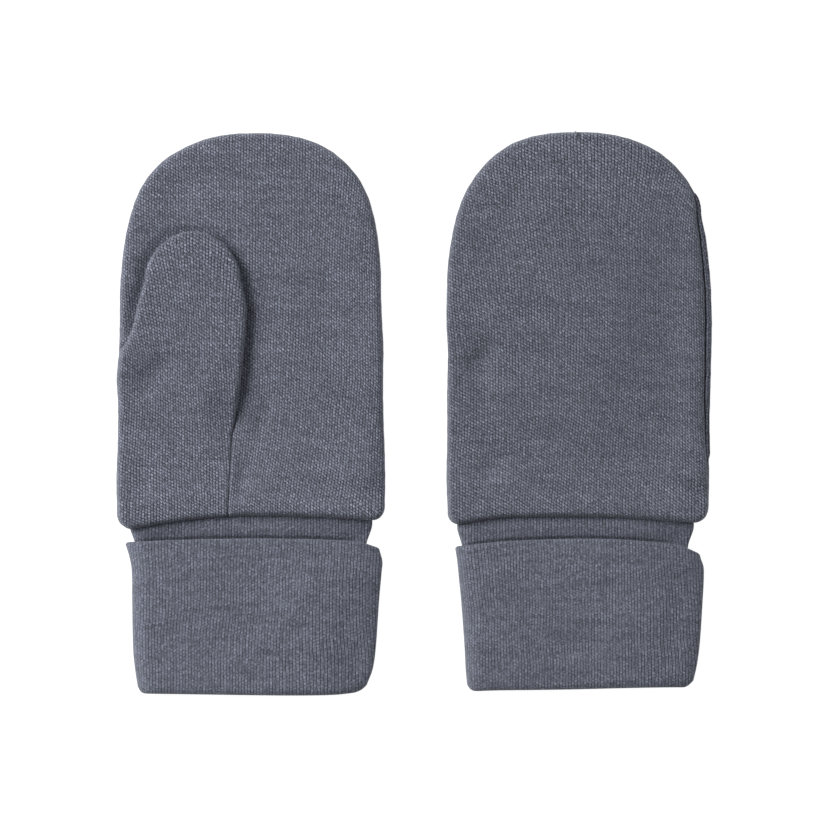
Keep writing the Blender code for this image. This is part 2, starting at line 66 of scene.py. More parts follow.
# Heights of the flat hand, of its plump hem and of the thumb
HAND_HEIGHT = 5.0
HEM_HEIGHT = 9.4
THUMB_HEIGHT = 3.6
THUMB_CLEARANCE = 0.3
BULGE_HEIGHT = 2.0
RISE_START_Y = -3.0
RISE_END_Y = -27.0
EDGE_HALF_GAP = 0.1
SEAM_SINK = 0.6
SEAM_WIDTH = 1.1
RIM_WIDTH = 1.7
HEM_ROLL = 0.45

# Hand outline
ARCH_BASE_Y = 34.7
ARCH_EXPONENT = 2.5
LOWEST_ROW_Y = -9.0
Side = namedtuple("Side", "y left right")
HemPoint = namedtuple("HemPoint", "x y")
LEFT_SIDES = table(
    Side, (34.7, -36.5, 36.7), (26.3, -36.5, 37), (17.9, -36.7, 37.4), (10, -37.4, 37.3),
    (3.9, -37, 37.3), (-10, -37.1, 37.7), (-18.5, -37.4, 37.9), (-27.5, -37.2, 37.7),
)
RIGHT_SIDES = table(
    Side, (34.7, -36.9, 37.2), (26.3, -37, 37.4), (17.9, -36.6, 37.3), (10, -36.7, 37.1),
    (3.9, -36.8, 36.9), (-10, -36.8, 36.5), (-18.5, -37, 36.6), (-27.5, -36.6, 36.4),
)
LEFT_HEM = table(HemPoint, (-35, -32.1), (-20, -29.7), (-6, -28.3), (14, -28.3), (34, -29.3))
RIGHT_HEM = table(HemPoint, (-34.5, -30.6), (-22, -28.8), (-9, -28.4), (10, -28.6), (34, -30.1))

# Small corrections of the arch in x, to both sides of its top
LEFT_ARCH_SHIFT = table(
    Side, (34, 0, 0), (41.4, 0.25, -0.18), (49.3, 0.22, -0.4), (56.6, -0.05, -0.22),
    (61.6, -0.4, -0.02), (66.6, -0.62, 0.08), (71.7, -0.42, 0.02), (75, 0.3, 0), (80, 0.4, -0.2),
)
RIGHT_ARCH_SHIFT = table(
    Side, (34, 0, 0), (41.4, 0.25, -0.35), (49.3, 0.6, -0.4), (54.9, 0.6, -0.3), (58.2, 0.6, 0.32),
    (62.5, 0.58, 0.42), (66.6, 0.65, 0.36), (73.4, 0.4, 0.12), (76, 0, -0.3), (80, 0.2, -0.6),
)
LEFT_FOOT = table(
    HemPoint, (-34, 0.1), (-20, -0.05), (0, -0.35), (14, -0.45), (24, -0.25), (31, 0.5),
)
RIGHT_FOOT = table(
    HemPoint, (-31, -0.7), (-24, -0.35), (-12, -0.2), (0, 0), (12, 0.3), (24, 0.5), (31, 0.5),
)

# The right mitten's palm wraps up round its right side to the back's edge
WRAP_INSET = 1.45
WRAP_GROOVE = 0.5
WRAP_SINK = 0.9
WRAP_ANGLE = 70.0

# Thumb
THUMB_TIP_Y = 51.1
THUMB_TIP_EXPONENT = 1.9
CROTCH_Y = 17.1
THUMB_ROWS = table(
    Side, (37.2, -29.4, -2.4), (30, -31.4, -0.9), (24.1, -32.8, -1.1), (20.2, -34.6, -1.4),
    (18.4, -36, -1.6), (17.1, -36.7, -1.7), (10.4, -37.3, -2.4), (4.3, -37, -3.2), (-2, -37, -4.2),
    (-6.4, -37, -5), (-16.2, -37.3, -5.6), (-30, -37.4, -6.2),
)
Lift = namedtuple("Lift", "y share")
LEFT_LIFT = table(Lift, (17.1, 0), (18.4, 0.6), (22.1, 0.86), (30, 1))
RIGHT_LIFT = table(Lift, (-4, 0), (1.7, 0.4), (5, 0.75), (9, 1))
RIGHT_WRAP = table(
    Lift, (-24, 0), (-15, 0.18), (-7, 0.55), (4, 0.9), (20, 1), (47, 1), (56, 0.7), (62, 0.3),
    (68, 0),
)
NO_WRAP = table(Lift, (0, 0), (1, 0))
CROTCH_LEFT = HemPoint(-36.6, 18.4)
CROTCH_RIGHT = HemPoint(-3.9, 1.7)
RAMP_BELOW = 18.0
RAMP_ABOVE = 6.0
LATE_RAMP_BELOW = 8.0
LATE_RAMP_REACH = 11.0
LATE_RAMP_SHARE = 0.8
LIFT_MARGIN = 2.5
LIFT_FADE = 9.0
BULGE_FADE = 30.0
UNDERSIDE_BLEND = 0.26
UNDERSIDE_INSET = 2.0
THUMB_LOWEST_Y = -12.0
SEWN_FADE = 5.0

# Cuff
SLIT = 0.6
STACK_MIDDLE = 4.2
Ring = namedtuple("Ring", "y left right middle", defaults=(STACK_MIDDLE,))
FOLD_RADIUS = 1.95
CUFF_SIDE_ROUND = 3.2
NECK_HALF = CUFF_CLOTH + SLIT / 2
NECK_HEM_MIDDLE = 4.2
NECK_START_Y = -25.0
NECK_CLEARANCE = 0.2
Fold = namedtuple("Fold", "angle left right")
LEFT_NECK = table(
    Ring, (-25, -33, 32.8, NECK_HEM_MIDDLE), (-30.5, -33.9, 34.3, 4.3), (-36.5, -32.1, 32.6, 3.9),
    (-42, -31.2, 32.2), (-58, -30.6, 31.4), (-70, -29.8, 30.4),
)
LEFT_FOLD = table(Fold, (0, -28.2, 27.2), (45, -28.6, 27.7), (90, -29.3, 28.9), (135, -30.6, 31.1))
LEFT_TURN_UP = table(
    Ring, (-76.4, -31.4, 32.7), (-72, -32.1, 34.3), (-66, -32.7, 35.2), (-52, -33, 36.2),
    (-44, -33.1, 36.9), (-40.5, -33.7, 37.1), (-37, -34.8, 36.3),
)
LEFT_TOP_EDGE = table(
    HemPoint, (-34.4, -36.6), (-15, -35.8), (10, -35.6), (30, -36.5), (35.8, -38.1),
)
RIGHT_NECK = table(
    Ring, (-25, -33, 31.4, NECK_HEM_MIDDLE), (-31.5, -34, 32.3, 4.6), (-36.5, -32.7, 30.8, 4.2),
    (-42, -31.6, 30.2), (-58, -30.2, 30.8), (-70, -28.8, 30.4),
)
RIGHT_FOLD = table(Fold, (0, -27.4, 28), (45, -27.8, 28.4), (90, -28.6, 29.3), (135, -30.2, 30.8))
RIGHT_TURN_UP = table(
    Ring, (-75.1, -31.2, 32.2), (-71, -31.6, 33.1), (-64, -32, 34), (-52, -32.9, 34.8),
    (-46, -33.5, 35.1), (-41.5, -34, 35), (-38.5, -34.5, 34.1),
)
RIGHT_TOP_EDGE = table(
    HemPoint, (-34.6, -37.8), (-18, -36.2), (8, -35.7), (28, -37.5), (34.4, -40),
)
TOP_EDGE_REACH = 9.0

Mitten = namedtuple(
    "Mitten",
    "name x thumb_up sides hem left_corner right_corner arch_rise arch_skew"
    " wrap neck fold turn_up top_edge arch_shift foot",
)
LEFT = Mitten("left", -45.75, True, LEFT_SIDES, LEFT_HEM, 4.3, 3.5, 44.0, 1.3,
              NO_WRAP, LEFT_NECK, LEFT_FOLD, LEFT_TURN_UP, LEFT_TOP_EDGE,
              LEFT_ARCH_SHIFT, LEFT_FOOT)
RIGHT = Mitten("right", 46.25, False, RIGHT_SIDES, RIGHT_HEM, 3.0, 4.2, 44.3, -0.4,
               RIGHT_WRAP, RIGHT_NECK, RIGHT_FOLD, RIGHT_TURN_UP, RIGHT_TOP_EDGE,
               RIGHT_ARCH_SHIFT, RIGHT_FOOT)

# Soft troughs (negative) and ridges (positive). Angle is the direction of its
# length in degrees from x; width is from the middle to where it has mostly faded.
Crease = namedtuple("Crease", "x y angle length width depth")
CREASES = {
    "left_thumb": table(
        Crease, (-26.4, 11.4, 60, 14, 3.8, -1.5), (-19.5, 8.6, 60, 16, 8, -0.8),
        (-31.8, 11, 40, 10, 3, -0.25), (-30.4, -17.5, 82, 12, 3.4, -0.8),
        (-11.4, 11, 82, 24, 4.6, 0.6), (-22.6, 31, 82, 20, 3, -0.14), (-15, -18, 10, 26, 3, -0.3),
    ),
    "left_palm": table(
        Crease, (-2, -17.6, 74, 13, 3.2, -0.95), (3.8, -1, 76, 17, 2, -0.6),
        (24, -21.4, 2, 32, 3, -1.5), (38.6, -17, 88, 26, 4.6, -2), (30.5, 54, 78, 18, 4, 0.3),
        (34.2, 20, 90, 46, 4.2, 0.42), (20, 25, 95, 26, 5, -0.4), (12, 35, 20, 22, 4.4, -0.36),
        (-6, 64, 8, 30, 4.6, -0.36), (-22, 57, 55, 20, 3.6, -0.45), (14, -9, -6, 22, 3.6, 0.16),
    ),
    "right_back": table(
        Crease, (-26.2, 15.8, 70, 10, 3.8, -1.35), (-19, 13, 72, 13, 8, -0.45),
        (-28, 8, 112, 18, 3.4, -0.6), (33.6, 40, 91, 36, 4.2, 0.5), (33.4, 4, 90, 26, 4, 0.4),
        (25, 22, 100, 20, 4.4, -0.6), (-8.5, -17.6, 158, 22, 2.6, -0.55),
        (16, -15.5, 172, 20, 3, -0.5), (-24.6, -15.6, 60, 12, 3.4, -0.85),
        (-16, 62, 70, 18, 4, -0.55), (2, 47, 120, 24, 4.4, -0.5), (4, -1, 165, 26, 4, 0.4),
        (24, -21.4, 176, 26, 3, -1.3), (38, -20, 86, 22, 4.6, -2.2), (8, 21, 172, 16, 3.6, 0.35),
    ),
    "left_back": table(
        Crease, (14, 30, 70, 30, 3.4, 0.3), (-18, 52, 30, 26, 3, 0.24), (-20, 2, 100, 24, 3, 0.26),
        (20, -8, 20, 24, 3, 0.22),
    ),
    "right_palm": table(
        Crease, (12, 44, 65, 26, 3.4, 0.26), (18, 4, 100, 24, 3, 0.22), (-6, 66, 15, 22, 3, 0.2),
    ),
    "right_thumb": table(Crease, (-25, 12, 50, 18, 3.2, 0.24), (-16, -10, 85, 20, 3, 0.2)),
    "left_cuff": table(
        Crease, (12, -56, 68, 22, 2.6, 0.42), (3, -63, 60, 18, 2.6, 0.32),
        (30, -68.8, 74, 13, 4.6, -0.9), (26.6, -60, 84, 18, 3.6, -0.45),
        (-16, -44, 100, 12, 3.4, -0.14), (-22, -64, 80, 18, 3.6, -0.14),
    ),
    "right_cuff": table(
        Crease, (-1.6, -65, 20, 14, 3.4, -0.8), (27, -58, 86, 26, 3.4, -0.55),
        (-14, -48, 80, 14, 3.2, -0.34), (10, -46, 94, 14, 3.4, -0.34),
        (-20, -60, 100, 20, 3.6, 0.12),
    ),
}


# How the knit lies: at each height the place one wale runs through, the height of a course and
# the widths of the wales at the given places. Courses sag by bend to both sides of middle.
WALE = 0.77
COURSE = 0.88
KnitRow = namedtuple("KnitRow", "y wale_x course widths")
Lay = namedtuple("Lay", "places rows bend middle")
PALM_LAY = Lay((-20.7, -9.5, 1.7, 12.9, 24.1, 29.7), table(
    KnitRow, (68, 13.1, 0.88, (0.75, 0.76, 0.79, 0.79, 0.78, 0.76)),
    (55.4, 12.9, 0.89, (0.75, 0.76, 0.78, 0.77, 0.725, 0.7)),
    (39.8, 12.5, 0.9, (0.75, 0.76, 0.767, 0.755, 0.717, 0.67)),
    (24.1, 12, 0.88, (0.72, 0.72, 0.725, 0.778, 0.75, 0.7)),
    (8.4, 11.5, 0.89, (0.72, 0.72, 0.725, 0.767, 0.8, 0.71)),
    (-7.3, 10.1, 0.86, (0.72, 0.72, 0.728, 0.775, 0.81, 0.75)),
    (-15.1, 9.1, 0.81, (0.72, 0.72, 0.722, 0.77, 0.83, 0.8)),
    (-25, 7.6, 0.87, (0.68, 0.68, 0.68, 0.775, 0.86, 0.9)),
), 0.0038, -14)
THUMB_LAY = Lay((-26.3, -20.7, -15.1, -9.5, -3.9), table(
    KnitRow, (47.6, -20.9, 0.96, (0.98, 0.97, 0.93, 0.92, 0.92)),
    (39.8, -19.6, 0.94, (0.92, 0.8, 0.756, 0.85, 0.96)),
    (31.9, -19, 0.94, (0.885, 0.734, 0.717, 0.748, 0.92)),
    (16.2, -18.2, 0.9, (0.69, 0.7, 0.68, 0.7, 0.77)),
    (0.6, -17.9, 0.86, (0.725, 0.736, 0.736, 0.717, 0.8)),
    (-15.1, -17.6, 0.87, (0.8, 0.78, 0.756, 0.78, 0.85)),
    (-25, -17.3, 0.84, (0.865, 0.79, 0.736, 0.748, 0.88)),
), 0.0034, -15)
BACK_LAY = Lay((-25.3, -14.1, -2.9, 8.3, 19.5, 30.7), table(
    KnitRow, (71.1, 0.6, 0.88, (0.88, 0.9, 0.94, 0.94, 0.9, 0.85)),
    (55.4, 0.5, 0.88, (0.725, 0.89, 0.89, 0.854, 0.767, 0.72)),
    (47.6, 1.1, 0.87, (0.764, 0.885, 0.857, 0.815, 0.736, 0.68)),
    (31.9, 2.4, 0.88, (0.83, 0.874, 0.812, 0.756, 0.697, 0.672)),
    (16.2, 2.5, 0.88, (0.778, 0.826, 0.804, 0.748, 0.717, 0.717)),
    (0.6, 1.8, 0.87, (0.778, 0.8, 0.767, 0.767, 0.756, 0.7)),
    (-15.1, 0.5, 0.87, (0.79, 0.753, 0.764, 0.762, 0.81, 0.82)),
    (-25, -0.2, 0.9, (0.767, 0.717, 0.79, 0.756, 0.83, 0.9)),
), 0.0044, -13.6)
LEFT_CUFF_LAY = Lay((-26.3, -15.1, -3.9, 7.3, 18.5, 29.7), table(
    KnitRow, (-32, 1.9, 0.86, (0.9, 0.9, 0.86, 0.88, 0.88, 0.9)),
    (-38.6, 1.7, 0.86, (0.907, 0.91, 0.854, 0.882, 0.882, 0.91)),
    (-46.5, 1.4, 0.86, (0.868, 0.896, 0.84, 0.854, 0.865, 0.96)),
    (-54.3, 1.1, 0.89, (0.854, 0.882, 0.854, 0.826, 0.944, 0.93)),
    (-62.2, 0.5, 0.93, (0.84, 0.868, 0.851, 0.837, 0.994, 0.99)),
    (-71, 0.1, 0.97, (0.837, 0.826, 0.815, 0.91, 1.03, 0.99)),
), 0.0043, 7.3)
RIGHT_CUFF_LAY = Lay((-25.3, -14.1, -2.9, 8.3, 19.5, 30.7), table(
    KnitRow, (-32, 2.5, 0.83, (0.89, 0.87, 0.84, 0.82, 0.86, 0.88)),
    (-38.6, 2.7, 0.82, (0.888, 0.868, 0.84, 0.815, 0.862, 0.88)),
    (-46.5, 2.7, 0.78, (0.848, 0.84, 0.854, 0.84, 0.868, 0.88)),
    (-54.3, 2.5, 0.79, (0.8, 0.815, 0.826, 0.868, 0.896, 0.927)),
    (-62.2, 2.4, 0.83, (0.778, 0.815, 0.84, 0.84, 0.944, 0.944)),
    (-71, 2.7, 0.92, (0.84, 0.81, 0.812, 0.84, 0.958, 1.01)),
), 0.0033, 6)
HAND_LAYS = {"palm": PALM_LAY, "thumb": THUMB_LAY, "thumb_inner": THUMB_LAY, "back": BACK_LAY}
LAYS = {f"{side}_{part}": lay for side in ("left", "right") for part, lay in HAND_LAYS.items()}
LAYS.update(left_cuff=LEFT_CUFF_LAY, right_cuff=RIGHT_CUFF_LAY)


def ease(share):
    """Soft step from 0 to 1."""
    share = np.clip(share, 0.0, 1.0)
    return share * share * (3.0 - 2.0 * share)


CURVES = {}


def curve_samples(rows, column):
    """Samples of the soft curve through one column of a table, as the part's source draws it."""
    name = (rows, column)
    if name not in CURVES:
        points = sorted((row[0], getattr(row, column)) for row in rows)
        keys, values = [points[0][0]], [points[0][1]]
        for index in range(len(points) - 1):
            (k0, v0), (k1, v1) = points[index], points[index + 1]
            before = points[max(index - 1, 0)]
            after = points[min(index + 2, len(points) - 1)]
            span = k1 - k0
            slope0 = (v1 - before[1]) / (k1 - before[0]) * span
            slope1 = (after[1] - v0) / (after[0] - k0) * span
            t = np.linspace(0.0, 1.0, 33)[1:]
            keys.extend(k0 + span * t)
            values.extend(
                (2 * t**3 - 3 * t**2 + 1) * v0 + (t**3 - 2 * t**2 + t) * slope0
                + (3 * t**2 - 2 * t**3) * v1 + (t**3 - t**2) * slope1
            )
        CURVES[name] = (np.array(keys), np.array(values))
    return CURVES[name]


def table_value(rows, place, column):
    """Value of a column at a place along the rows' first field."""
    keys, values = curve_samples(rows, column)
    return np.interp(place, keys, values)


def straight_value(rows, place):
    return np.interp(place, [row.y for row in rows], [row.share for row in rows])


def side_x(mitten, y, column):
    return table_value(mitten.sides, y, column)


def hem_y(mitten, x):
    return table_value(mitten.hem, x, "y") - HEM_ROLL


def thumb_x(mitten, y, column):
    """Edge of the thumb panel: the hand's own side below the crotch on the left."""
    edge = table_value(THUMB_ROWS, y, column)
    if column == "left":
        return np.where(np.asarray(y) <= CROTCH_Y, side_x(mitten, y, "left"), edge)
    return edge


def crotch_side(x, y):
    """Distance above the crotch line, which runs down to the right."""
    along_x = CROTCH_RIGHT.x - CROTCH_LEFT.x
    along_y = CROTCH_RIGHT.y - CROTCH_LEFT.y
    cross = along_x * (y - CROTCH_LEFT.y) - along_y * (x - CROTCH_LEFT.x)
    return cross / math.hypot(along_x, along_y)


def outside_thumb(x, y):
    """Distance outside the free thumb, 0 within it."""
    base = THUMB_ROWS[0]
    middle, half = (base.left + base.right) / 2, (base.right - base.left) / 2
    over_tip = np.maximum(np.hypot(x - middle, y - base.y) - half, 0.0)
    left = table_value(THUMB_ROWS, y, "left")
    right = table_value(THUMB_ROWS, y, "right")
    beside = np.maximum(np.maximum(left - x, x - right), 0.0)
    below = np.maximum(-crotch_side(x, y), 0.0)
    return np.where(y > base.y, over_tip, np.hypot(beside, below))


def hand_rise(y):
    """How the flat hand grows thicker towards its hem."""
    return (HEM_HEIGHT - HAND_HEIGHT) * ease((RISE_START_Y - y) / (RISE_START_Y - RISE_END_Y))


def top_level(mitten, x, y):
    """Height of the upper panel's face away from its edges."""
    level = HAND_HEIGHT + hand_rise(y)
    if not mitten.thumb_up:
        fade = 1.0 - ease((outside_thumb(x, y) - LIFT_MARGIN) / BULGE_FADE)
        level = np.maximum(level, HAND_HEIGHT + BULGE_HEIGHT * fade + 0.5 * hand_rise(y))
    return level


def low_level(mitten, x, y):
    """Height of the lower panel's face, lifted over a thumb that lies beneath."""
    if mitten.thumb_up:
        return np.zeros_like(x + y)
    fade = 1.0 - ease((outside_thumb(x, y) - LIFT_MARGIN) / LIFT_FADE)
    return (THUMB_HEIGHT + 2 * THUMB_CLEARANCE) * fade


def seam_height(mitten, x, y):
    return (top_level(mitten, x, y) + low_level(mitten, x, y)) / 2


def hand_edge(mitten, x, y, up):
    """Height of a panel's edge on the hand's outline: the side seam, or the neck at the hem."""
    sign = 1.0 if up else -1.0
    at_side = seam_height(mitten, x, y) + sign * EDGE_HALF_GAP
    at_hem = NECK_HEM_MIDDLE + sign * (NECK_HALF + NECK_CLEARANCE)
    share = ease((hem_y(mitten, x) + mitten.left_corner - y) / mitten.left_corner)
    return at_side + (at_hem - at_side) * share


def wrap_share(mitten, x, y):
    """How far the lower panel wraps round the right side here, 0 to 1."""
    return np.where(x > 0.0, straight_value(mitten.wrap, y), 0.0)


def panel_edge(mitten, x, y, up):
    """Height of the palm and thumb panels' edges where they are sewn to each other."""
    level = top_level(mitten, x, y) - SEAM_SINK if up else low_level(mitten, x, y) + SEAM_SINK
    at_hem = hand_edge(mitten, x, hem_y(mitten, x), up)
    share = ease((hem_y(mitten, x) + RIM_WIDTH - y) / RIM_WIDTH)
    return level + (at_hem - level) * share


def thumb_level(mitten, x, y):
    """Outer face of the thumb panel: it climbs from the palm onto the thumb."""
    if not mitten.thumb_up:
        return np.zeros_like(x + y)
    above = crotch_side(x, y)
    climb = ease((above + RAMP_BELOW) / (RAMP_BELOW + RAMP_ABOVE))
    late = ease((above + LATE_RAMP_BELOW) / (LATE_RAMP_BELOW + RAMP_ABOVE))
    beside = ease((x - thumb_x(mitten, y, "right") + LATE_RAMP_REACH) / LATE_RAMP_REACH)
    climb = climb + (late - climb) * LATE_RAMP_SHARE * beside
    return HAND_HEIGHT + hand_rise(y) + (THUMB_HEIGHT + THUMB_CLEARANCE) * climb


def thumb_middle(mitten):
    if mitten.thumb_up:
        return HAND_HEIGHT + THUMB_CLEARANCE + THUMB_HEIGHT / 2
    return THUMB_HEIGHT / 2


def thumb_edge(mitten, x, y, column, outer):
    """Height of the thumb's seam, which climbs from the hand to the middle of the thumb."""
    up = mitten.thumb_up == outer
    sign = 1.0 if up else -1.0
    if column == "left":
        base = seam_height(mitten, x, y)
        share = straight_value(LEFT_LIFT, y)
    else:
        base = panel_edge(mitten, x, y, mitten.thumb_up) - sign * EDGE_HALF_GAP
        share = straight_value(RIGHT_LIFT, y)
    return base + (thumb_middle(mitten) - base) * share + sign * EDGE_HALF_GAP


def even_path(points, step, count=None):
    """Points at even steps along a path, both ends kept, or a set count of them."""
    points = np.asarray(points, float)
    length = np.concatenate([[0.0], np.cumsum(np.hypot(*np.diff(points, axis=0).T))])
    places = np.linspace(0.0, length[-1], count or max(int(round(length[-1] / step)), 2) + 1)
    return np.stack([np.interp(places, length, points[:, i]) for i in (0, 1)], 1)


def even_rows(start, end, step):
    return np.linspace(start, end, max(int(round(abs(end - start) / step)), 1) + 1)


def superellipse_arch(left, right, base_y, top_y, exponent, skew, step):
    """Arch from left to right at even steps, without the two points at its base."""
    angle = np.linspace(math.pi, 0.0, 721)
    across, up = np.cos(angle), np.sin(angle)
    x = np.copysign(np.abs(across) ** (2 / exponent), across)
    y = np.maximum(up, 0.0) ** (2 / exponent)
    points = np.stack([
        (left + right) / 2 + (right - left) / 2 * x + skew * y,
        base_y + (top_y - base_y) * y,
    ], 1)
    return even_path(points, step)[1:-1]


def quarter_turn(mitten, column, step):
    """Rounded end of the hem, in clockwise order."""
    left = column == "left"
    radius = mitten.left_corner if left else mitten.right_corner
    x = side_x(mitten, RISE_END_Y, column) + (radius if left else -radius)
    start, end = (270.0, 180.0) if left else (0.0, -90.0)
    angle = np.radians(np.linspace(start, end, 31))
    centre_y = hem_y(mitten, x) + radius
    arc = np.stack([x + radius * np.cos(angle), centre_y + radius * np.sin(angle)], 1)
    return even_path(arc, step)


def hand_arch(mitten, step):
    points = superellipse_arch(
        side_x(mitten, ARCH_BASE_Y, "left"), side_x(mitten, ARCH_BASE_Y, "right"),
        ARCH_BASE_Y, ARCH_BASE_Y + mitten.arch_rise, ARCH_EXPONENT, mitten.arch_skew, step,
    )
    x, y = points.T
    shift = np.where(x < 0.0, table_value(mitten.arch_shift, y, "left"),
                     table_value(mitten.arch_shift, y, "right"))
    return np.stack([x + shift, y], 1)


def thumb_arch(step):
    row = THUMB_ROWS[0]
    return superellipse_arch(row.left, row.right, row.y, THUMB_TIP_Y, THUMB_TIP_EXPONENT, 0.0, step)


def waviness(x, y, size):
    """Low uneven ripple of about -1 to 1, with bumps about a size apart."""
    k = 2.0 * math.pi / size
    return (
        np.sin(k * (0.83 * x + 0.41 * y) + 1.3) * np.sin(k * (0.29 * x - 0.71 * y) + 0.4)
        + 0.6 * np.sin(k * (1.37 * x - 0.62 * y) + 2.1) * np.sin(k * (0.55 * x + 1.21 * y) + 5.0)
    ) / 1.6


def ripple(ripples, x, y, height=0.0):
    """Height with these ripples added to it."""
    for kind in ripples:
        height = height + kind.height * waviness(x + kind.shift, y, kind.size)
    return height


def crease_relief(name, x, y):
    """Height that this piece's listed troughs and ridges add."""
    relief = np.zeros_like(x + y)
    for crease in CREASES.get(name, ()):
        angle = math.radians(crease.angle)
        along = (x - crease.x) * math.cos(angle) + (y - crease.y) * math.sin(angle)
        across = (y - crease.y) * math.cos(angle) - (x - crease.x) * math.sin(angle)
        across = across + 0.06 * crease.length * np.sin(along / crease.length * 2.4)
        reach = np.exp(-((2.0 * along / crease.length) ** 4))
        relief = relief + crease.depth * np.exp(-((across / crease.width) ** 2)) * reach
    return relief


def smooth_loop(values, window):
    """Averages round a closed loop over a window of points on each side."""
    total = np.zeros_like(values)
    weight = 0.0
    for shift in range(-window, window + 1):
        share = 1.0 + math.cos(math.pi * shift / (window + 1))
        total += share * np.roll(values, shift, axis=0)
        weight += share
    return total / weight


def distance_to(outline, x, y):
    """Distance of each point from an outline's nearest point."""
    shape = x.shape
    x, y = x.ravel(), y.ravel()
    nearest = np.full(x.size, 1e9)
    for start in range(0, len(outline), 50):
        part = outline[start:start + 50]
        gap = (x[:, None] - part[None, :, 0]) ** 2 + (y[:, None] - part[None, :, 1]) ** 2
        nearest = np.minimum(nearest, gap.min(1))
    return np.sqrt(nearest).reshape(shape)


GRID_HALF, GRID_CELLS, GRID_STEP, GRID_SMOOTH = 60.0, 240, 0.5, 12


def wale_place(lay, x, y):
    """Distance across the knit in even wales, from the wale the lay follows."""
    heights = np.array([row.y for row in lay.rows])[::-1]
    grid = np.linspace(-GRID_HALF, GRID_HALF, GRID_CELLS + 1)
    window = np.full(2 * GRID_SMOOTH + 1, 1 / (2 * GRID_SMOOTH + 1))
    counts = []
    for row in lay.rows[::-1]:
        spread = np.interp(grid, lay.places, row.widths)
        spread = np.convolve(np.pad(spread, GRID_SMOOTH, mode="edge"), window, mode="valid")
        cells = GRID_STEP / spread[:-1] * 0.5 + GRID_STEP / spread[1:] * 0.5
        count = np.concatenate([[0.0], np.cumsum(cells)])
        counts.append(count - np.interp(row.wale_x, grid, count))
    counts = np.array(counts)
    place = np.clip((x + GRID_HALF) / GRID_STEP, 0.0, GRID_CELLS - 0.001)
    column = place.astype(int)
    level = np.interp(y, heights, np.arange(len(heights)))
    row = np.minimum(level.astype(int), len(heights) - 2)
    across, up = place - column, level - row
    low = counts[row, column] * (1 - across) + counts[row, column + 1] * across
    high = counts[row + 1, column] * (1 - across) + counts[row + 1, column + 1] * across
    return (low * (1 - up) + high * up) * WALE


def course_place(lay, x, y):
    """Distance along the knit in even courses."""
    heights = np.linspace(-100.0, 100.0, 401)
    rows = lay.rows[::-1]
    course = np.interp(heights, [row.y for row in rows], [row.course for row in rows])
    run = np.concatenate([[0.0], np.cumsum(0.5 / course[:-1])])
    return np.interp(y, heights, run) * COURSE + lay.bend / 2 * (x - lay.middle) ** 2


def cloth_object(mitten, part, points, places, thickness):
    """Turns a grid of rings into a named piece of cloth in metres, with its map of the knit.

    points is (rings, columns, 3), closed round the columns; places is (rings, columns + 1, 2),
    the spot of each corner on the flat knit in millimetres.
    """
    name = f"{mitten.name}_{part}_knit"
    ring_count, column_count = points.shape[:2]
    flat = points.reshape(-1, 3)
    keys, first, index = np.unique(
        np.round(flat / 2e-3).astype(np.int64), axis=0, return_index=True, return_inverse=True
    )
    index = index.reshape(-1)
    ring, column = np.meshgrid(np.arange(ring_count - 1), np.arange(column_count), indexing="ij")
    ring, column = ring.ravel(), column.ravel()
    after = (column + 1) % column_count
    corners = np.stack([
        ring * column_count + column,
        ring * column_count + after,
        (ring + 1) * column_count + after,
        (ring + 1) * column_count + column,
    ], 1)
    spots = np.stack([
        places[ring, column], places[ring, column + 1],
        places[ring + 1, column + 1], places[ring + 1, column],
    ], 1)
    faces, face_spots = [], []
    for quad, spot in zip(index[corners].tolist(), spots.tolist()):
        kept = [i for i in range(4) if quad[i] != quad[i - 1]]
        if len(kept) >= 3 and len({quad[i] for i in kept}) == len(kept):
            faces.append([quad[i] for i in kept])
            face_spots.extend(spot[i] for i in kept)
    mesh = bpy.data.meshes.new(name)
    mesh.from_pydata((flat[first] * MM).tolist(), [], faces)
    layer = mesh.uv_layers.new(name="knit")
    layer.data.foreach_set("uv", np.array(face_spots, np.float32).ravel())
    mesh.shade_smooth()
    piece = bpy.data.objects.new(name, mesh)
    piece.location = (mitten.x * MM, -PAIR_MIDDLE_Y * MM, 0.0)
    bpy.context.scene.collection.objects.link(piece)
    if thickness:
        wall = piece.modifiers.new("cloth", "SOLIDIFY")
        wall.thickness = thickness * MM
        wall.offset = -1.0
        wall.use_rim = True
    return piece


CORNER_REACH = 5.2
STEADY_REACH = 3.0
PUFF, PUFF_INSIDE, PUFF_WIDTH = 0.06, 5.0, 4.0
PUCKER, PUCKER_SIZE = 0.05, 4.6
PUCKER_INSIDE, PUCKER_WIDTH, PUCKER_FADE = 1.6, 1.5, 1.2
Ripple = namedtuple("Ripple", "height size shift", defaults=(0.0,))
SEAM_RIPPLES = (Ripple(0.07, 5.2),)
CLOTH_RIPPLES = (Ripple(0.06, 17.0), Ripple(0.03, 7.0, 40.0))
CUFF_RIPPLES = (Ripple(0.07, 15.0), Ripple(0.035, 6.0, 30.0))

# The thumb presses the palm: how deep and how far, and where its right and left parts fade
PRESS_DEPTH = 1.5
PRESS_REACH = 2.4
PRESS_RIGHT = 0.4
PRESS_SPLIT_X, PRESS_SPLIT_FADE = -18.0, 8.0
PRESS_TOP_Y, PRESS_TOP_FADE = 49.0, 6.0
PRESS_LEFT_Y, PRESS_LEFT_FADE = 20.0, 12.0

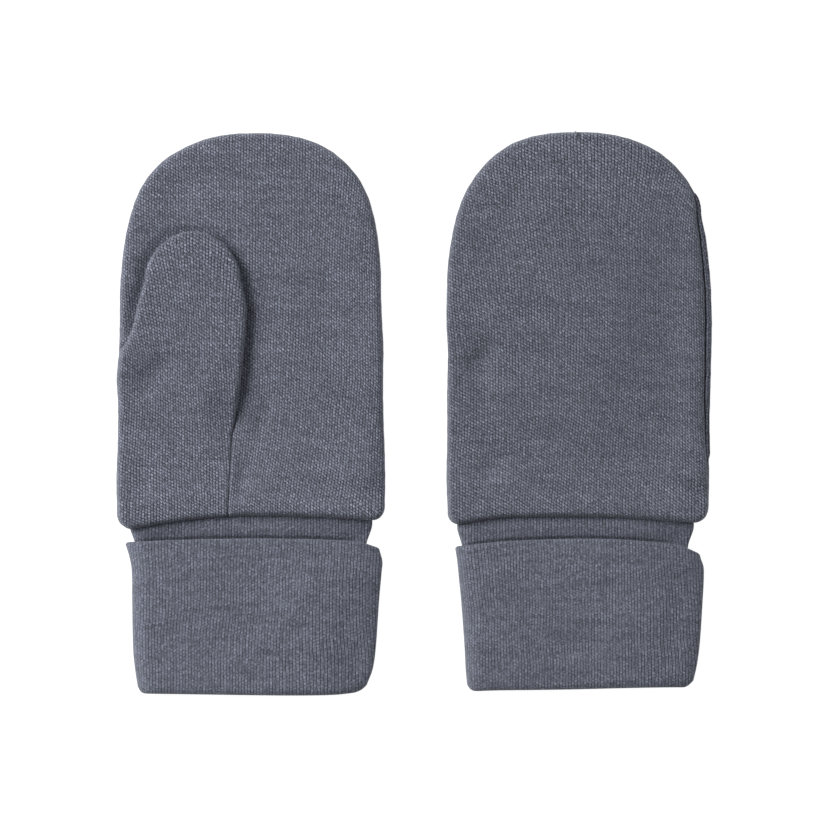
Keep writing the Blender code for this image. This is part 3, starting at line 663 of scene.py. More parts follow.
CUFF_GIRTH = 170 * WALE
CUFF_SHOULDERS = (5.0, 26.0)
CUFF_OVER, CUFF_UNDER = 66.0, 60.0
CUFF_EDGE_FADE, CUFF_FOLD_FADE, CUFF_LIP_FADE = 5.0, 4.0, 3.0
NECK_DIP = 0.75
NECK_DIP_Y, NECK_DIP_FADE = -31.8, 4.2
NECK_DIP_END_Y, NECK_DIP_END_FADE = -46.0, 6.0
LIP_DIP = 0.75
LIP_REACH = 1.0
LIP_FLAT = 0.8
FOOT_REACH = 9.0
RIM_ANGLES = (0.0, 7.0, 15.0, 24.0, 34.0, 45.0, 57.0, 70.0, 80.0, 90.0)
TurnIn = namedtuple("TurnIn", "side_inward side_depth face_inward face_depth")
TURN_INS = table(
    TurnIn, (1, 0.36, 1, 1.05), (0.5, 0.32, 0.4, 0.95), (0.2, 0.2, 0.08, 0.62), (0.04, 0, 0, 0.25),
)


def panel(mitten, part, loop, centres, level, up, step):
    """Cloth panel from its outline, clockwise, with columns x, y, edge height, edge width and
    whether its seam lies on the face (1) or at the side (0).

    Each outline point has a spoke of rings: turned in along the seam, up the rounded edge,
    then in even steps to its centre point. A lower palm also has rings for its wrap.
    """
    x, y, edge, width, on_face = loop.T
    count = len(loop)
    along = smooth_loop(np.roll(loop[:, :2], -1, axis=0) - np.roll(loop[:, :2], 1, axis=0),
                        max(int(round(CORNER_REACH / step)), 1))
    along /= np.hypot(*along.T)[:, None]
    in_x, in_y = along[:, 1], -along[:, 0]
    sign = 1.0 if up else -1.0
    seam_wave = ripple(SEAM_RIPPLES, x, y)
    x, y = x + in_x * seam_wave, y + in_y * seam_wave
    wrapped = part == "palm" and not up
    share = wrap_share(mitten, x, y) if wrapped else np.zeros(count)
    wrap_rise = (top_level(mitten, x, y) - WRAP_SINK - edge) * share
    rings = []
    for turn in TURN_INS:
        face = np.maximum(on_face, share)
        inward = turn.side_inward + (turn.face_inward - turn.side_inward) * face
        inward = inward + WRAP_INSET * share
        depth = turn.side_depth + (turn.face_depth - turn.side_depth) * face
        depth = depth * (sign + (1.0 - sign) * ease(share * 2.0) if wrapped else sign)
        rings.append((x + in_x * inward, y + in_y * inward, edge + wrap_rise - depth))
    if wrapped:
        wrap = math.radians(WRAP_ANGLE)
        for angle in np.linspace(wrap, 0.0, 9)[:-1]:
            inward = WRAP_INSET * share * (1 - math.cos(angle)) / (1 - math.cos(wrap))
            rise = wrap_rise * math.sin(angle) / math.sin(wrap)
            rings.append((x + in_x * inward, y + in_y * inward, edge + rise))
    for angle in np.radians(RIM_ANGLES):
        inward = width * (1.0 - math.cos(angle))
        px, py = x + in_x * inward, y + in_y * inward
        rings.append((px, py, edge + (level(px, py) - edge) * math.sin(angle)))
    rim_end = len(rings) - 1
    start_x, start_y = rings[-1][0], rings[-1][1]
    for end in (centres[:, 1].argmax(), centres[:, 1].argmin()):
        fan = fan_of(centres, centres[end])
        start_x[fan], start_y[fan] = in_turn(start_x[fan], start_y[fan], centres[end])
    reach = np.hypot(centres[:, 0] - start_x, centres[:, 1] - start_y).max()
    ring_count = max(int(round(reach / step)), 2)
    for ring in range(1, ring_count + 1):
        share = ring / ring_count
        px = start_x + (centres[:, 0] - start_x) * share
        py = start_y + (centres[:, 1] - start_y) * share
        rings.append((px, py, level(px, py)))
    points = np.array(rings).transpose(0, 2, 1).copy()
    flat_x, flat_y = points[..., 0], points[..., 1]
    inside = distance_to(loop[:, :2], flat_x, flat_y)
    steady = 1.0 + (ease(inside / STEADY_REACH) - 1.0) * on_face
    rise = np.ones((len(rings), 1))
    rise[:rim_end + 1 - len(RIM_ANGLES)] = 0.0
    rise[rim_end + 1 - len(RIM_ANGLES):rim_end + 1, 0] = np.sin(np.radians(RIM_ANGLES))
    relief = crease_relief(f"{mitten.name}_{part}", flat_x, flat_y)
    if up and part in ("back", "palm"):
        from_side = distance_to(hand_outline(mitten, 1.0), flat_x, flat_y)
        relief = relief + PUFF * np.exp(-(((from_side - PUFF_INSIDE) / PUFF_WIDTH) ** 2))
    if up and part == "palm":
        beside = outside_thumb(flat_x, flat_y)
        right = ease((flat_x - PRESS_SPLIT_X) / PRESS_SPLIT_FADE)
        right = right * ease((PRESS_TOP_Y - flat_y) / PRESS_TOP_FADE)
        left = (1.0 - right) * ease((flat_y - PRESS_LEFT_Y) / PRESS_LEFT_FADE)
        pressed = PRESS_DEPTH * (left + PRESS_RIGHT * right)
        relief = relief - pressed * np.exp(-((beside / PRESS_REACH) ** 2))
    relief = ripple(CLOTH_RIPPLES, flat_x, flat_y, relief)
    if not up:
        relief = np.maximum(relief, 0.0)
    pucker = PUCKER * np.exp(-((inside - PUCKER_INSIDE) / PUCKER_WIDTH) ** 2)
    pucker = pucker * waviness(flat_x, flat_y, PUCKER_SIZE)
    points[..., 2] += relief * steady * rise
    if up:
        points[rim_end - 3:, :, 2] += (pucker * ease(inside / PUCKER_FADE))[rim_end - 3:]

    # The knit's own places: flat inside the rounded edge, and run on by real length over it
    steps = np.sqrt((np.diff(points[:rim_end + 1], axis=0) ** 2).sum(2))
    run = np.zeros((rim_end + 1, count))
    run[:-1] = np.cumsum(steps[::-1], axis=0)[::-1]
    places = points[..., :2].copy()
    places[:rim_end + 1, :, 0] = start_x - in_x * run
    places[:rim_end + 1, :, 1] = start_y - in_y * run
    lay = LAYS[f"{mitten.name}_{part}"]
    across, along = places[..., 0], places[..., 1]
    places = np.stack([wale_place(lay, across, along), course_place(lay, across, along)], 2)
    places = np.concatenate([places, places[:, :1]], axis=1)
    piece = cloth_object(mitten, part, points, places, CLOTH)
    return face_outward(piece, up)


def fan_of(centres, centre):
    """Places of the outline points that share this centre, in the order they follow each other."""
    found = np.flatnonzero((np.abs(centres - centre) < 1e-9).all(1))
    gaps = np.flatnonzero(np.diff(found) > 1)
    return np.roll(found, -(gaps[0] + 1)) if len(gaps) else found


def in_turn(x, y, centre):
    """Points of a fan with their angles about its centre put in order, each at its own radius."""
    angle = np.unwrap(np.arctan2(y - centre[1], x - centre[0]))
    radius = np.hypot(x - centre[0], y - centre[1])
    angle = np.sort(angle)[::-1] if angle[-1] < angle[0] else np.sort(angle)
    return centre[0] + radius * np.cos(angle), centre[1] + radius * np.sin(angle)


def face_data(mesh, name, width):
    values = np.empty(len(mesh.polygons) * width)
    mesh.polygons.foreach_get(name, values)
    return values.reshape(-1, width)


def face_outward(piece, up):
    """Turns the faces so that the cloth's outer side is up, or down for a lower panel."""
    mesh = piece.data
    upward = (face_data(mesh, "normal", 3)[:, 2] * face_data(mesh, "area", 1)[:, 0]).sum()
    if (upward > 0.0) != up:
        mesh.flip_normals()
    return piece


def close_loop(lefts, top, rights, bottom):
    """Joins left and right rows with a fan above and one below; gives the loop and centres."""
    spine = (lefts[:, :2] + rights[:, :2]) / 2
    loop = np.concatenate([lefts, top, rights[::-1], bottom])
    centres = np.concatenate([
        spine, np.repeat(spine[-1:], len(top), axis=0),
        spine[::-1], np.repeat(spine[:1], len(bottom), axis=0),
    ])
    return loop, centres


def full_points(path, edge, width, on_face=0.0):
    """Outline points with their edge height, edge width and kind of seam."""
    path = np.asarray(path, float)
    columns = [np.broadcast_to(value, len(path)) for value in (edge, width, on_face)]
    return np.stack([path[:, 0], path[:, 1], *columns], 1)


def side_path(mitten, ys, column):
    return np.stack([side_x(mitten, ys, column), ys], 1)


def hem_path(mitten, start, end, step):
    xs = even_rows(start, end, step)
    return np.stack([xs, hem_y(mitten, xs)], 1)


def hand_bottom(mitten, step, hem_end=None):
    """Bottom of the hand from the lowest right row to the lowest left row, or to hem_end."""
    right_turn = quarter_turn(mitten, "right", step)
    left_turn = quarter_turn(mitten, "left", step)
    right_side = side_path(mitten, even_rows(LOWEST_ROW_Y, right_turn[0, 1], step)[1:-1], "right")
    if hem_end is not None:
        hem = hem_path(mitten, right_turn[-1, 0], hem_end, step)[1:]
        return np.concatenate([right_side, right_turn, hem])
    hem = hem_path(mitten, right_turn[-1, 0], left_turn[0, 0], step)[1:-1]
    left_side = side_path(mitten, even_rows(left_turn[-1, 1], LOWEST_ROW_Y, step)[1:-1], "left")
    return np.concatenate([right_side, right_turn, hem, left_turn, left_side])


def hand_outline(mitten, step):
    ys = even_rows(LOWEST_ROW_Y, ARCH_BASE_Y, step)
    return np.concatenate([
        side_path(mitten, ys, "left"), hand_arch(mitten, step),
        side_path(mitten, ys[::-1], "right"), hand_bottom(mitten, step),
    ])


def back_panel(mitten, step):
    up = not mitten.thumb_up

    def outline_points(path):
        x, y = path.T
        share = wrap_share(mitten, x, y)
        edge = hand_edge(mitten, x, y, up)
        inner = x - (WRAP_INSET + WRAP_GROOVE) * share
        height = edge + (top_level(mitten, inner, y) - WRAP_SINK - edge) * share
        return full_points(np.stack([inner, y], 1), height, RIM_WIDTH, share)

    ys = even_rows(LOWEST_ROW_Y, ARCH_BASE_Y, step)
    loop, centres = close_loop(
        outline_points(side_path(mitten, ys, "left")),
        outline_points(hand_arch(mitten, step)),
        outline_points(side_path(mitten, ys, "right")),
        outline_points(hand_bottom(mitten, step)),
    )

    def level(x, y):
        return top_level(mitten, x, y) if up else np.zeros_like(x + y)

    return panel(mitten, "back", loop, centres, level, up, step)


def palm_panel(mitten, step):
    """Palm: its lower left is cut along the crotch line and the seam beside the thumb panel."""
    up = mitten.thumb_up

    def level(x, y):
        return top_level(mitten, x, y) if up else low_level(mitten, x, y)

    def seam_points(ys):
        x = thumb_x(mitten, ys, "right") + GAP
        return full_points(np.stack([x, ys], 1), panel_edge(mitten, x, ys, up), SEAM_WIDTH, 1.0)

    def outer_points(path):
        x, y = path.T
        return full_points(path, hand_edge(mitten, x, y, up), RIM_WIDTH)

    fold_ys = even_rows(CROTCH_RIGHT.y, CROTCH_LEFT.y, step)
    share = (fold_ys - CROTCH_RIGHT.y) / (CROTCH_LEFT.y - CROTCH_RIGHT.y)
    fold_x = CROTCH_RIGHT.x + (CROTCH_LEFT.x - CROTCH_RIGHT.x) * share + GAP
    fold = full_points(np.stack([fold_x, fold_ys], 1), level(fold_x, fold_ys), SEAM_WIDTH, 1.0)
    upper_ys = even_rows(CROTCH_LEFT.y + 1.0, ARCH_BASE_Y, step)
    seam_ys = even_rows(LOWEST_ROW_Y - 2.0, CROTCH_RIGHT.y - 1.0, step)
    lefts = np.concatenate([
        seam_points(seam_ys), fold, outer_points(side_path(mitten, upper_ys, "left")),
    ])
    all_ys = np.concatenate([seam_ys, fold_ys, upper_ys])
    rights = outer_points(side_path(mitten, all_ys, "right"))
    seam_end = float(thumb_x(mitten, RISE_END_Y, "right") + GAP)
    bottom = outer_points(hand_bottom(mitten, step, seam_end))
    low_ys = even_rows(hem_y(mitten, seam_end), LOWEST_ROW_Y - 2.0, step)[1:-1]
    bottom = np.concatenate([bottom[bottom[:, 1] < seam_ys[0]], seam_points(low_ys)])
    loop, centres = close_loop(lefts, outer_points(hand_arch(mitten, step)), rights, bottom)
    return panel(mitten, "palm", loop, centres, level, up, step)


def thumb_panel(mitten, step):
    """Outer half of the thumb with the lower left of the palm."""
    up = mitten.thumb_up

    def row_points(ys, column):
        x = thumb_x(mitten, ys, column)
        sewn = np.zeros(len(ys))
        if column == "right":
            sewn = 1.0 - ease((ys - CROTCH_RIGHT.y) / SEWN_FADE)
        width = RIM_WIDTH + (SEAM_WIDTH - RIM_WIDTH) * sewn
        edge = thumb_edge(mitten, x, ys, column, True)
        return full_points(np.stack([x, ys], 1), edge, width, sewn)

    ys = even_rows(THUMB_LOWEST_Y, THUMB_ROWS[0].y, step)
    seam_end = float(thumb_x(mitten, RISE_END_Y, "right"))
    left_turn = quarter_turn(mitten, "left", step)
    hem = hem_path(mitten, seam_end, left_turn[0, 0], step)[:-1]
    left_side = side_path(mitten, even_rows(left_turn[-1, 1], THUMB_LOWEST_Y, step)[1:-1], "left")
    low = np.concatenate([hem, left_turn, left_side])
    low_right = even_rows(THUMB_LOWEST_Y, hem_y(mitten, seam_end), step)[1:-1]
    bottom = np.concatenate([
        row_points(low_right, "right"),
        full_points(low, hand_edge(mitten, low[:, 0], low[:, 1], up), RIM_WIDTH),
    ])
    seam = thumb_middle(mitten) + (EDGE_HALF_GAP if up else -EDGE_HALF_GAP)
    loop, centres = close_loop(
        row_points(ys, "left"), full_points(thumb_arch(step), seam, RIM_WIDTH),
        row_points(ys, "right"), bottom,
    )
    return panel(mitten, "thumb", loop, centres, lambda x, y: thumb_level(mitten, x, y), up, step)


def thumb_underside(mitten, step):
    """Inner half of the thumb, which lies on the palm from the crotch line to the tip."""
    up = not mitten.thumb_up
    face = THUMB_HEIGHT if up else HAND_HEIGHT + THUMB_CLEARANCE
    top_y = THUMB_ROWS[0].y
    low_shares = np.linspace(0.0, 0.24, 8)

    def edge_points(shares, start_y, column):
        y = start_y + (top_y - start_y) * shares
        blend = ease(shares / UNDERSIDE_BLEND)
        inset = UNDERSIDE_INSET * (1.0 - blend)
        x = table_value(THUMB_ROWS, y, column)
        seam = thumb_edge(mitten, x, y, column, False)
        x = x + (inset if column == "left" else -inset)
        width = SEAM_WIDTH + (RIM_WIDTH - SEAM_WIDTH) * blend
        return full_points(np.stack([x, y], 1), face + (seam - face) * blend, width)

    shares = np.linspace(0.28, 1.0, max(int(20.0 / step), 4))
    left_start, right_start = CROTCH_LEFT.y + GAP, CROTCH_RIGHT.y + GAP
    low_right = edge_points(low_shares, right_start, "right")
    low_left = edge_points(low_shares, left_start, "left")
    fold = even_path([low_right[0, :2], low_left[0, :2]], step)[1:-1]
    seam = thumb_middle(mitten) + (EDGE_HALF_GAP if up else -EDGE_HALF_GAP)
    loop, centres = close_loop(
        edge_points(shares, left_start, "left"), full_points(thumb_arch(step), seam, RIM_WIDTH),
        edge_points(shares, right_start, "right"),
        np.concatenate([low_right[::-1], full_points(fold, face, SEAM_WIDTH), low_left]),
    )
    return panel(mitten, "thumb_inner", loop, centres, lambda x, y: np.full_like(x + y, face),
                 up, step)


def cuff_section(left, right, centre_z, half, step, shoulders):
    """One flattened ring in x and z: over the top from the left, round the right side and back
    underneath. The count of points is the same for every ring. shoulders is how far in from the
    left and the right side the upper face starts to fall."""
    side = min(half, CUFF_SIDE_ROUND)
    low_count, high_count = int(round(CUFF_UNDER / step)), int(round(CUFF_OVER / step))
    upper_turn = np.radians(np.linspace(90.0, 0.0, 19))
    lower_turn = np.radians(np.linspace(0.0, -90.0, 9))

    def shoulder(edge, reach, way):
        reach = max(reach, side)
        across = reach - reach * np.cos(upper_turn)
        return edge + way * across, centre_z + half * np.sin(upper_turn)

    left_x, left_z = shoulder(left, shoulders[0], 1.0)
    right_x, right_z = shoulder(right, shoulders[1], -1.0)
    top = np.stack([
        np.concatenate([left_x[::-1], right_x]), np.concatenate([left_z[::-1], right_z]),
    ], 1)
    top = even_path(top, 1.0, high_count)
    low_right = np.stack([right - side + side * np.cos(lower_turn),
                          centre_z + half * np.sin(lower_turn)], 1)
    low_left = np.stack([left + side - side * np.cos(lower_turn),
                         centre_z + half * np.sin(lower_turn)], 1)
    bottom = even_path(np.concatenate([low_right, low_left[::-1]]), 1.0, low_count)
    x, z = np.concatenate([top, bottom[1:-1]]).T
    return x, z


def cuff(mitten, step):
    """Neck, fold and turn-up as one closed wall, with a rounded edge at the top of the turn-up."""
    end_y = mitten.turn_up[0].y
    top_y = mitten.turn_up[-1].y
    outer_half = SLIT / 2 + 2 * FOLD_RADIUS
    fold_middle = SLIT / 2 + FOLD_RADIUS
    lip = CUFF_CLOTH / 2

    rows = []

    def stretch(ys, rings, inset, half):
        """Rows of a straight stretch of wall, its sides moved in by inset."""
        folded = rings is mitten.turn_up
        for y in ys:
            middle = STACK_MIDDLE if folded else table_value(rings, y, "middle")
            share = ease(1.0 - (top_y - y) / TOP_EDGE_REACH) if folded else 0.0
            rows.append((y, table_value(rings, y, "left") + inset,
                         table_value(rings, y, "right") - inset, middle, half, share))

    stretch(even_rows(NECK_START_Y, end_y, step), mitten.neck, CUFF_CLOTH, SLIT / 2)
    outer_fold = (*mitten.fold, Fold(180.0, mitten.turn_up[0].left, mitten.turn_up[0].right))
    for degrees in np.linspace(0.0, 180.0, 15)[1:-1]:
        angle = math.radians(degrees)
        rows.append((end_y - FOLD_RADIUS * math.sin(angle),
                     table_value(outer_fold, degrees, "left"),
                     table_value(outer_fold, degrees, "right"),
                     STACK_MIDDLE, fold_middle - FOLD_RADIUS * math.cos(angle), 0.0))
    stretch(even_rows(end_y, top_y, step), mitten.turn_up, 0.0, outer_half)
    left, right = (table_value(mitten.turn_up, top_y, column) for column in ("left", "right"))
    for angle in np.radians(np.linspace(0.0, 180.0, 11)[1:-1]):
        inset = lip * (1.0 - math.cos(angle))
        rows.append((top_y + lip * LIP_FLAT * math.sin(angle), left + inset, right - inset,
                     STACK_MIDDLE, outer_half - inset, 1.0))
    stretch(even_rows(top_y, end_y, 2 * step), mitten.turn_up, CUFF_CLOTH, outer_half - CUFF_CLOTH)
    stretch(even_rows(end_y, NECK_START_Y, step / 2), mitten.neck, 0.0, NECK_HALF)
    points = []
    for y, left, right, middle, half, share in rows:
        x, z = cuff_section(left, right, middle, half, step, CUFF_SHOULDERS)
        dip = share * (table_value(mitten.top_edge, x, "y") - top_y)
        foot = table_value(mitten.foot, x, "y")
        dip = dip + ease((end_y + FOOT_REACH - y) / FOOT_REACH) * foot
        points.append(np.stack([x, y + dip, z], 1))
    points = np.array(points)

    # The upper side follows the lay; underneath the rest of the wales share the width evenly
    lay = LAYS[f"{mitten.name}_cuff"]
    top_count = int(round(CUFF_OVER / step)) + 1
    x, y = points[..., 0], points[..., 1]
    over_top = np.hypot(*(np.diff(part[:, :top_count], axis=1) for part in (x, points[..., 2])))
    over_top = np.concatenate([np.zeros((len(x), 1)), np.cumsum(over_top, axis=1)], axis=1)
    middle = np.abs(x[:, :top_count]).argmin(1)[:, None]
    unrolled = over_top + np.take_along_axis(x[:, :top_count] - over_top, middle, 1)
    across = wale_place(lay, unrolled, y[:, :top_count])
    below = np.linspace(0.0, 1.0, x.shape[1] - top_count + 2)[1:]
    last = across[:, -1:]
    around = np.concatenate([
        across, last + (across[:, :1] + CUFF_GIRTH - last) * below,
    ], axis=1)
    lengthwise = np.sqrt((np.diff(points, axis=0) ** 2).sum(2)).mean(1)
    rows_y = y.mean(1)
    course = np.interp(rows_y, [row.y for row in lay.rows[::-1]],
                       [row.course for row in lay.rows[::-1]])
    run = np.concatenate([[0.0], np.cumsum(lengthwise * COURSE / course[1:])])
    sag = lay.bend / 2 * (np.concatenate([x, x[:, :1]], axis=1) - lay.middle) ** 2
    going_up = np.gradient(rows_y)[:, None] > 0.0
    places = np.stack([around, run[:, None] + np.where(going_up, sag, -sag)], 2)

    on_top = points[..., 2] > STACK_MIDDLE
    outer = np.array([row[4] > outer_half - 0.1 for row in rows])[:, None]
    relief = crease_relief(f"{mitten.name}_cuff", x, y)
    relief = ripple(CUFF_RIPPLES, x, y, relief)
    edge_fade = ease(np.minimum(x - x.min(1, keepdims=True), x.max(1, keepdims=True) - x)
                     / CUFF_EDGE_FADE)
    end_fade = ease((y - (end_y - 1.0)) / CUFF_FOLD_FADE) * ease((top_y - 0.5 - y) / CUFF_LIP_FADE)
    points[..., 2] += np.where(outer & on_top, relief * edge_fade * end_fade, 0.0)
    neck = np.array([abs(row[4] - NECK_HALF) < 1e-6 for row in rows])[:, None]
    lip_y = table_value(mitten.top_edge, x, "y") + lip * LIP_FLAT
    dip = NECK_DIP * ease((NECK_DIP_Y - y) / NECK_DIP_FADE)
    dip = dip + LIP_DIP * ease((lip_y + LIP_REACH - y) / LIP_REACH)
    dip = dip * ease((y - NECK_DIP_END_Y) / NECK_DIP_END_FADE)
    points[..., 2] -= np.where(neck & on_top, dip * edge_fade, 0.0)
    points = np.concatenate([points, points[:1]], axis=0)
    places = np.concatenate([places, places[-1:] + (places[-1:] - places[-2:-1])], axis=0)
    piece = cloth_object(mitten, "cuff", points, places, 0.0)
    mesh = piece.data
    highest = face_data(mesh, "center", 3)[:, 2].argmax()
    if face_data(mesh, "normal", 3)[highest, 2] < 0.0:
        mesh.flip_normals()
    return piece


class Nodes:
    """Adds shader nodes to a tree and links them."""

    def __init__(self, tree):
        self.tree = tree

    def add(self, kind, **settings):
        node = self.tree.nodes.new(kind)
        for name, value in settings.items():
            setattr(node, name, value)
        return node

    def feed(self, socket, value):
        if isinstance(value, bpy.types.NodeSocket):
            self.tree.links.new(value, socket)
        else:
            socket.default_value = value

    def math(self, operation, *values, clamp=False):
        node = self.add("ShaderNodeMath", operation=operation, use_clamp=clamp)
        for socket, value in zip(node.inputs, values):
            self.feed(socket, value)
        return node.outputs[0]

    def vector(self, x, y, z=0.0):
        node = self.add("ShaderNodeCombineXYZ")
        for socket, value in zip(node.inputs, (x, y, z)):
            self.feed(socket, value)
        return node.outputs[0]

    def noise(self, vector, scale, detail, roughness=0.5, dimensions="3D"):
        node = self.add("ShaderNodeTexNoise", noise_dimensions=dimensions)
        self.feed(node.inputs["Vector"], vector)
        node.inputs["Scale"].default_value = scale
        node.inputs["Detail"].default_value = detail
        node.inputs["Roughness"].default_value = roughness
        return node.outputs[0]

    def times(self, first, second):
        return self.math("MULTIPLY", first, second)

    def remap(self, value, low, high, new_low, new_high):
        node = self.add("ShaderNodeMapRange")
        for socket, number in zip(node.inputs, (value, low, high, new_low, new_high)):
            self.feed(socket, number)
        return node.outputs[0]


# Half-drop interlock: wales side by side, each a column of V stitches, half a course apart
HIDDEN_COLOUR = (0.126, 0.135, 0.172)
# contrast scales the painted loop shade and highlight and the mottle and tuft tones
Knit = namedtuple("Knit", "seed colour skew depth contrast",
                  defaults=(HIDDEN_COLOUR, 0.20, 0.80, 0.85))
KNITS = {
    "left_palm": Knit(1.0, (0.134, 0.143, 0.182)),
    "left_thumb": Knit(2.0, (0.130, 0.139, 0.177), 0.18, 0.80, 0.90),
    "left_thumb_inner": Knit(3.0),
    "left_back": Knit(4.0),
    "left_cuff": Knit(5.0, (0.120, 0.129, 0.164), -0.05, 0.46, 0.54),
    "right_back": Knit(6.0, (0.128, 0.137, 0.173), 0.24, 0.88, 0.78),
    "right_palm": Knit(7.0),
    "right_thumb": Knit(8.0),
    "right_thumb_inner": Knit(9.0),
    "right_cuff": Knit(10.0, (0.116, 0.125, 0.158), 0.04, 0.42, 0.56),
}
STITCH_LEAN = 0.38
# Loop shape power, painted shade in the gaps between loops and painted highlight on their crowns
LOOP_POWER, LOOP_PAINTED_SHADE, LOOP_PAINTED_HIGHLIGHT = 1.15, 0.98, 1.25
STITCH_SHADE, YARN_SHADE, MOTTLE_SHADE, PAIR_SHADE = 0.20, 0.30, 0.19, 0.035
TUFT_SHADE, FIBRE_SHADE = 0.45, 0.50
BUMP_HEIGHT = 0.16


def knit_material(name, knit):
    """Melange wool interlock from the piece's map of its flat knit, in millimetres."""
    material = bpy.data.materials.new(f"{name}_wool")
    material.use_nodes = True
    tree = material.node_tree
    shader = tree.nodes["Principled BSDF"]
    make = Nodes(tree)
    spot = make.add("ShaderNodeUVMap", uv_map="knit").outputs[0]
    parts = make.add("ShaderNodeSeparateXYZ")
    make.feed(parts.inputs[0], spot)
    u0, v0 = parts.outputs[0], parts.outputs[1]

    # Wales and courses sway a little
    sway = make.noise(make.vector(u0, v0, knit.seed), 0.055, 2.0)
    sway_v = make.noise(make.vector(u0, v0, knit.seed + 20.0), 0.06, 2.0)
    u = make.math("MULTIPLY_ADD", sway, 1.2, u0)
    v = make.math("MULTIPLY_ADD", sway_v, 1.6, v0)

    column_place = make.math("DIVIDE", u, WALE)
    column = make.math("FLOOR", column_place)
    within = make.math("SUBTRACT", make.math("FRACT", column_place), 0.5)
    apart = make.times(make.math("ABSOLUTE", within), 2.0)
    drop = make.math("FRACT", make.times(column, 0.5))
    climb = make.math("MULTIPLY_ADD", apart, -STITCH_LEAN, make.math("DIVIDE", v, COURSE))
    climb = make.math("MULTIPLY_ADD", within, 2.0 * knit.skew, climb)
    row_place = make.math("ADD", climb, drop)
    row = make.math("FLOOR", row_place)
    along = make.math("SUBTRACT", make.times(make.math("FRACT", row_place), 2.0), 1.0)
    leg = make.math("SUBTRACT", 1.0, make.times(along, along))
    off_leg = make.times(make.math("SUBTRACT", apart, 0.38), 1.85)
    round_leg = make.math("SUBTRACT", 1.0, make.times(off_leg, off_leg), clamp=True)
    bead = make.math("MULTIPLY_ADD", leg, knit.depth, 1.0 - knit.depth)
    loop = make.times(round_leg, bead)

    # Each stitch and each course of yarn has its own lightness
    stitch = make.add("ShaderNodeTexWhiteNoise", noise_dimensions="3D")
    make.feed(stitch.inputs["Vector"], make.vector(column, row, knit.seed))
    yarn = make.noise(
        make.vector(make.times(u, 0.06), make.times(row, 7.7), knit.seed),
        1.0, 1.0,
    )
    fibre = make.noise(
        make.vector(make.times(u, 3.4), make.times(v, 1.6), knit.seed),
        1.0, 3.0, 0.7,
    )
    tuft = make.noise(make.vector(make.math("ADD", u0, 31.0 * knit.seed), v0), 1.9, 0.0,
                      dimensions="2D")
    mottle = make.noise(
        make.vector(make.times(u0, 0.3), v0, knit.seed + 5.0), 0.16, 3.0, 0.6,
    )
    # Painted shade and highlight: colour darker in the gaps between the loops and lighter on their
    # crowns, then the stitches' and yarn's own tones
    light = make.remap(make.math("POWER", loop, LOOP_POWER), 0.0, 1.0,
                       1.0 - LOOP_PAINTED_SHADE * knit.contrast, 1.0 + LOOP_PAINTED_HIGHLIGHT * knit.contrast)
    for value, low, high, shade in (
        (stitch.outputs[0], 0.0, 1.0, STITCH_SHADE),
        (yarn, 0.0, 1.0, YARN_SHADE),
        (mottle, 0.0, 1.0, MOTTLE_SHADE * knit.contrast),
        (make.times(drop, 2.0), 0.0, 1.0, PAIR_SHADE),
        (tuft, 0.25, 0.75, TUFT_SHADE * knit.contrast),
        (fibre, 0.25, 0.75, FIBRE_SHADE),
    ):
        light = make.times(light, make.remap(value, low, high, 1.0 - shade, 1.0 + shade))
    tint = make.add("ShaderNodeVectorMath", operation="SCALE")
    tint.inputs[0].default_value = knit.colour
    make.feed(tint.inputs["Scale"], light)
    make.feed(shader.inputs["Base Color"], tint.outputs[0])

    height = make.math("ADD", loop, make.times(fibre, 0.35))
    bump = make.add("ShaderNodeBump")
    bump.inputs["Strength"].default_value = 1.0
    bump.inputs["Distance"].default_value = BUMP_HEIGHT * MM
    make.feed(bump.inputs["Height"], height)
    make.feed(shader.inputs["Normal"], bump.outputs[0])
    make.feed(shader.inputs["Roughness"], make.remap(loop, 0.0, 1.0, 0.96, 0.84))
    shader.inputs["Metallic"].default_value = 0.0
    shader.inputs["Specular IOR Level"].default_value = 0.25
    shader.inputs["Sheen Weight"].default_value = 0.36
    shader.inputs["Sheen Roughness"].default_value = 0.45
    shader.inputs["Sheen Tint"].default_value = (0.78, 0.82, 0.92, 1.0)
    return material


# Fields of a piece's cut in millimetres: width, length and flat area; no piece is given one here
Cut = namedtuple("Cut", "width length area")
FINE_STEP = 0.6
PLAIN_STEP = 1.2


def dress(piece, name, rests_on):
    piece.data.materials.append(knit_material(name, KNITS[name]))
    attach(piece, "root")
    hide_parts(name)
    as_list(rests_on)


for mitten in (LEFT, RIGHT):
    shown = FINE_STEP if mitten.thumb_up else PLAIN_STEP
    back = back_panel(mitten, PLAIN_STEP if mitten.thumb_up else FINE_STEP)
    palm = palm_panel(mitten, shown)
    thumb = thumb_panel(mitten, shown)
    underside = thumb_underside(mitten, PLAIN_STEP)
    tube = cuff(mitten, FINE_STEP)
    stack = [back, palm, underside, thumb] if mitten.thumb_up else [thumb, underside, palm, back]
    below = {piece: [lower.name] for piece, lower in zip(stack[1:], stack)}
    dress(back, f"{mitten.name}_back", below.get(back, []))
    dress(palm, f"{mitten.name}_palm", below.get(palm, []))
    dress(thumb, f"{mitten.name}_thumb", below.get(thumb, []))
    dress(underside, f"{mitten.name}_thumb_inner", below.get(underside, []))
    dress(tube, f"{mitten.name}_cuff", [])

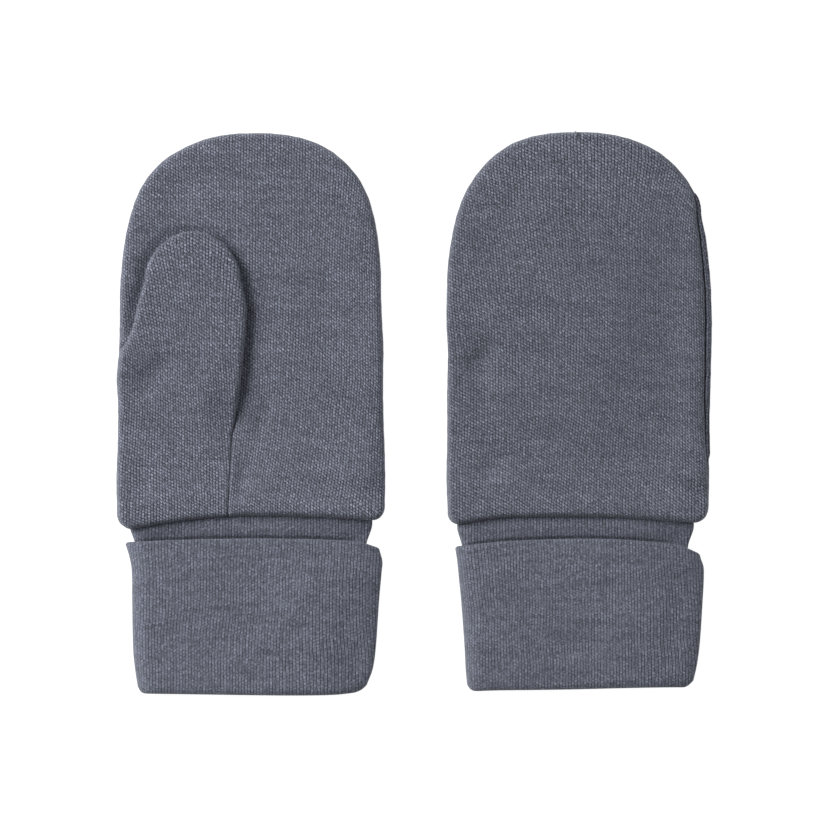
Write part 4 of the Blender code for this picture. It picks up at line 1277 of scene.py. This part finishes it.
# Floor, lights and camera
FLOOR_SIZE = 4.0
floor_mesh = bpy.data.meshes.new("floor")
floor_mesh.from_pydata(
    [(-FLOOR_SIZE, -FLOOR_SIZE, -0.0002), (FLOOR_SIZE, -FLOOR_SIZE, -0.0002),
     (FLOOR_SIZE, FLOOR_SIZE, -0.0002), (-FLOOR_SIZE, FLOOR_SIZE, -0.0002)], [], [(0, 1, 2, 3)])
floor = bpy.data.objects.new("floor", floor_mesh)
bpy.context.scene.collection.objects.link(floor)
paper = bpy.data.materials.new("pale_floor")
paper.use_nodes = True
paper_shader = paper.node_tree.nodes["Principled BSDF"]
paper_shader.inputs["Base Color"].default_value = (0.16, 0.16, 0.16, 1.0)
paper_shader.inputs["Roughness"].default_value = 1.0
paper_shader.inputs["Specular IOR Level"].default_value = 0.0
paper_shader.inputs["Emission Color"].default_value = (1.0, 1.0, 1.0, 1.0)
paper_shader.inputs["Emission Strength"].default_value = 0.965
floor_mesh.materials.append(paper)
floor.visible_glossy = False

world = bpy.data.worlds.new("soft_fill")
bpy.context.scene.world = world
world.use_nodes = True
world.node_tree.nodes["Background"].inputs["Color"].default_value = (0.97, 0.98, 1.0, 1.0)
world.node_tree.nodes["Background"].inputs["Strength"].default_value = 0.12

# Square area lights that face the middle of the pair
for name, place, size, power in (
    ("key_softbox", (-1.25, 0.55, 1.13), 1.1, 40.0),
    ("rim_softbox", (1.1, 0.75, 0.55), 0.8, 5.0),
    ("top_softbox", (0.1, -0.2, 2.2), 1.6, 4.0),
):
    data = bpy.data.lights.new(name, "AREA")
    data.shape = "SQUARE"
    data.size = size
    data.energy = power
    lamp = bpy.data.objects.new(name, data)
    lamp.location = place
    lamp.rotation_mode = "QUATERNION"
    lamp.rotation_quaternion = (-lamp.location).to_track_quat("-Z", "Y")
    bpy.context.scene.collection.objects.link(lamp)

VIEW_WIDTH = 828 * 0.28 * MM
CAMERA_X = 0.19 * MM
CAMERA_HEIGHT = 3.0
PLANE_HEIGHT = 0.0045
camera_data = bpy.data.cameras.new("camera")
camera_data.sensor_width = 36.0
camera_data.lens = 36.0 * (CAMERA_HEIGHT - PLANE_HEIGHT) / VIEW_WIDTH
camera_data.clip_start = 0.1
camera_data.clip_end = 20.0
camera = bpy.data.objects.new("camera", camera_data)
camera.location = (CAMERA_X, -PAIR_MIDDLE_Y * MM, CAMERA_HEIGHT)
bpy.context.scene.collection.objects.link(camera)
bpy.context.scene.camera = camera
bpy.context.scene.view_settings.view_transform = "Standard"
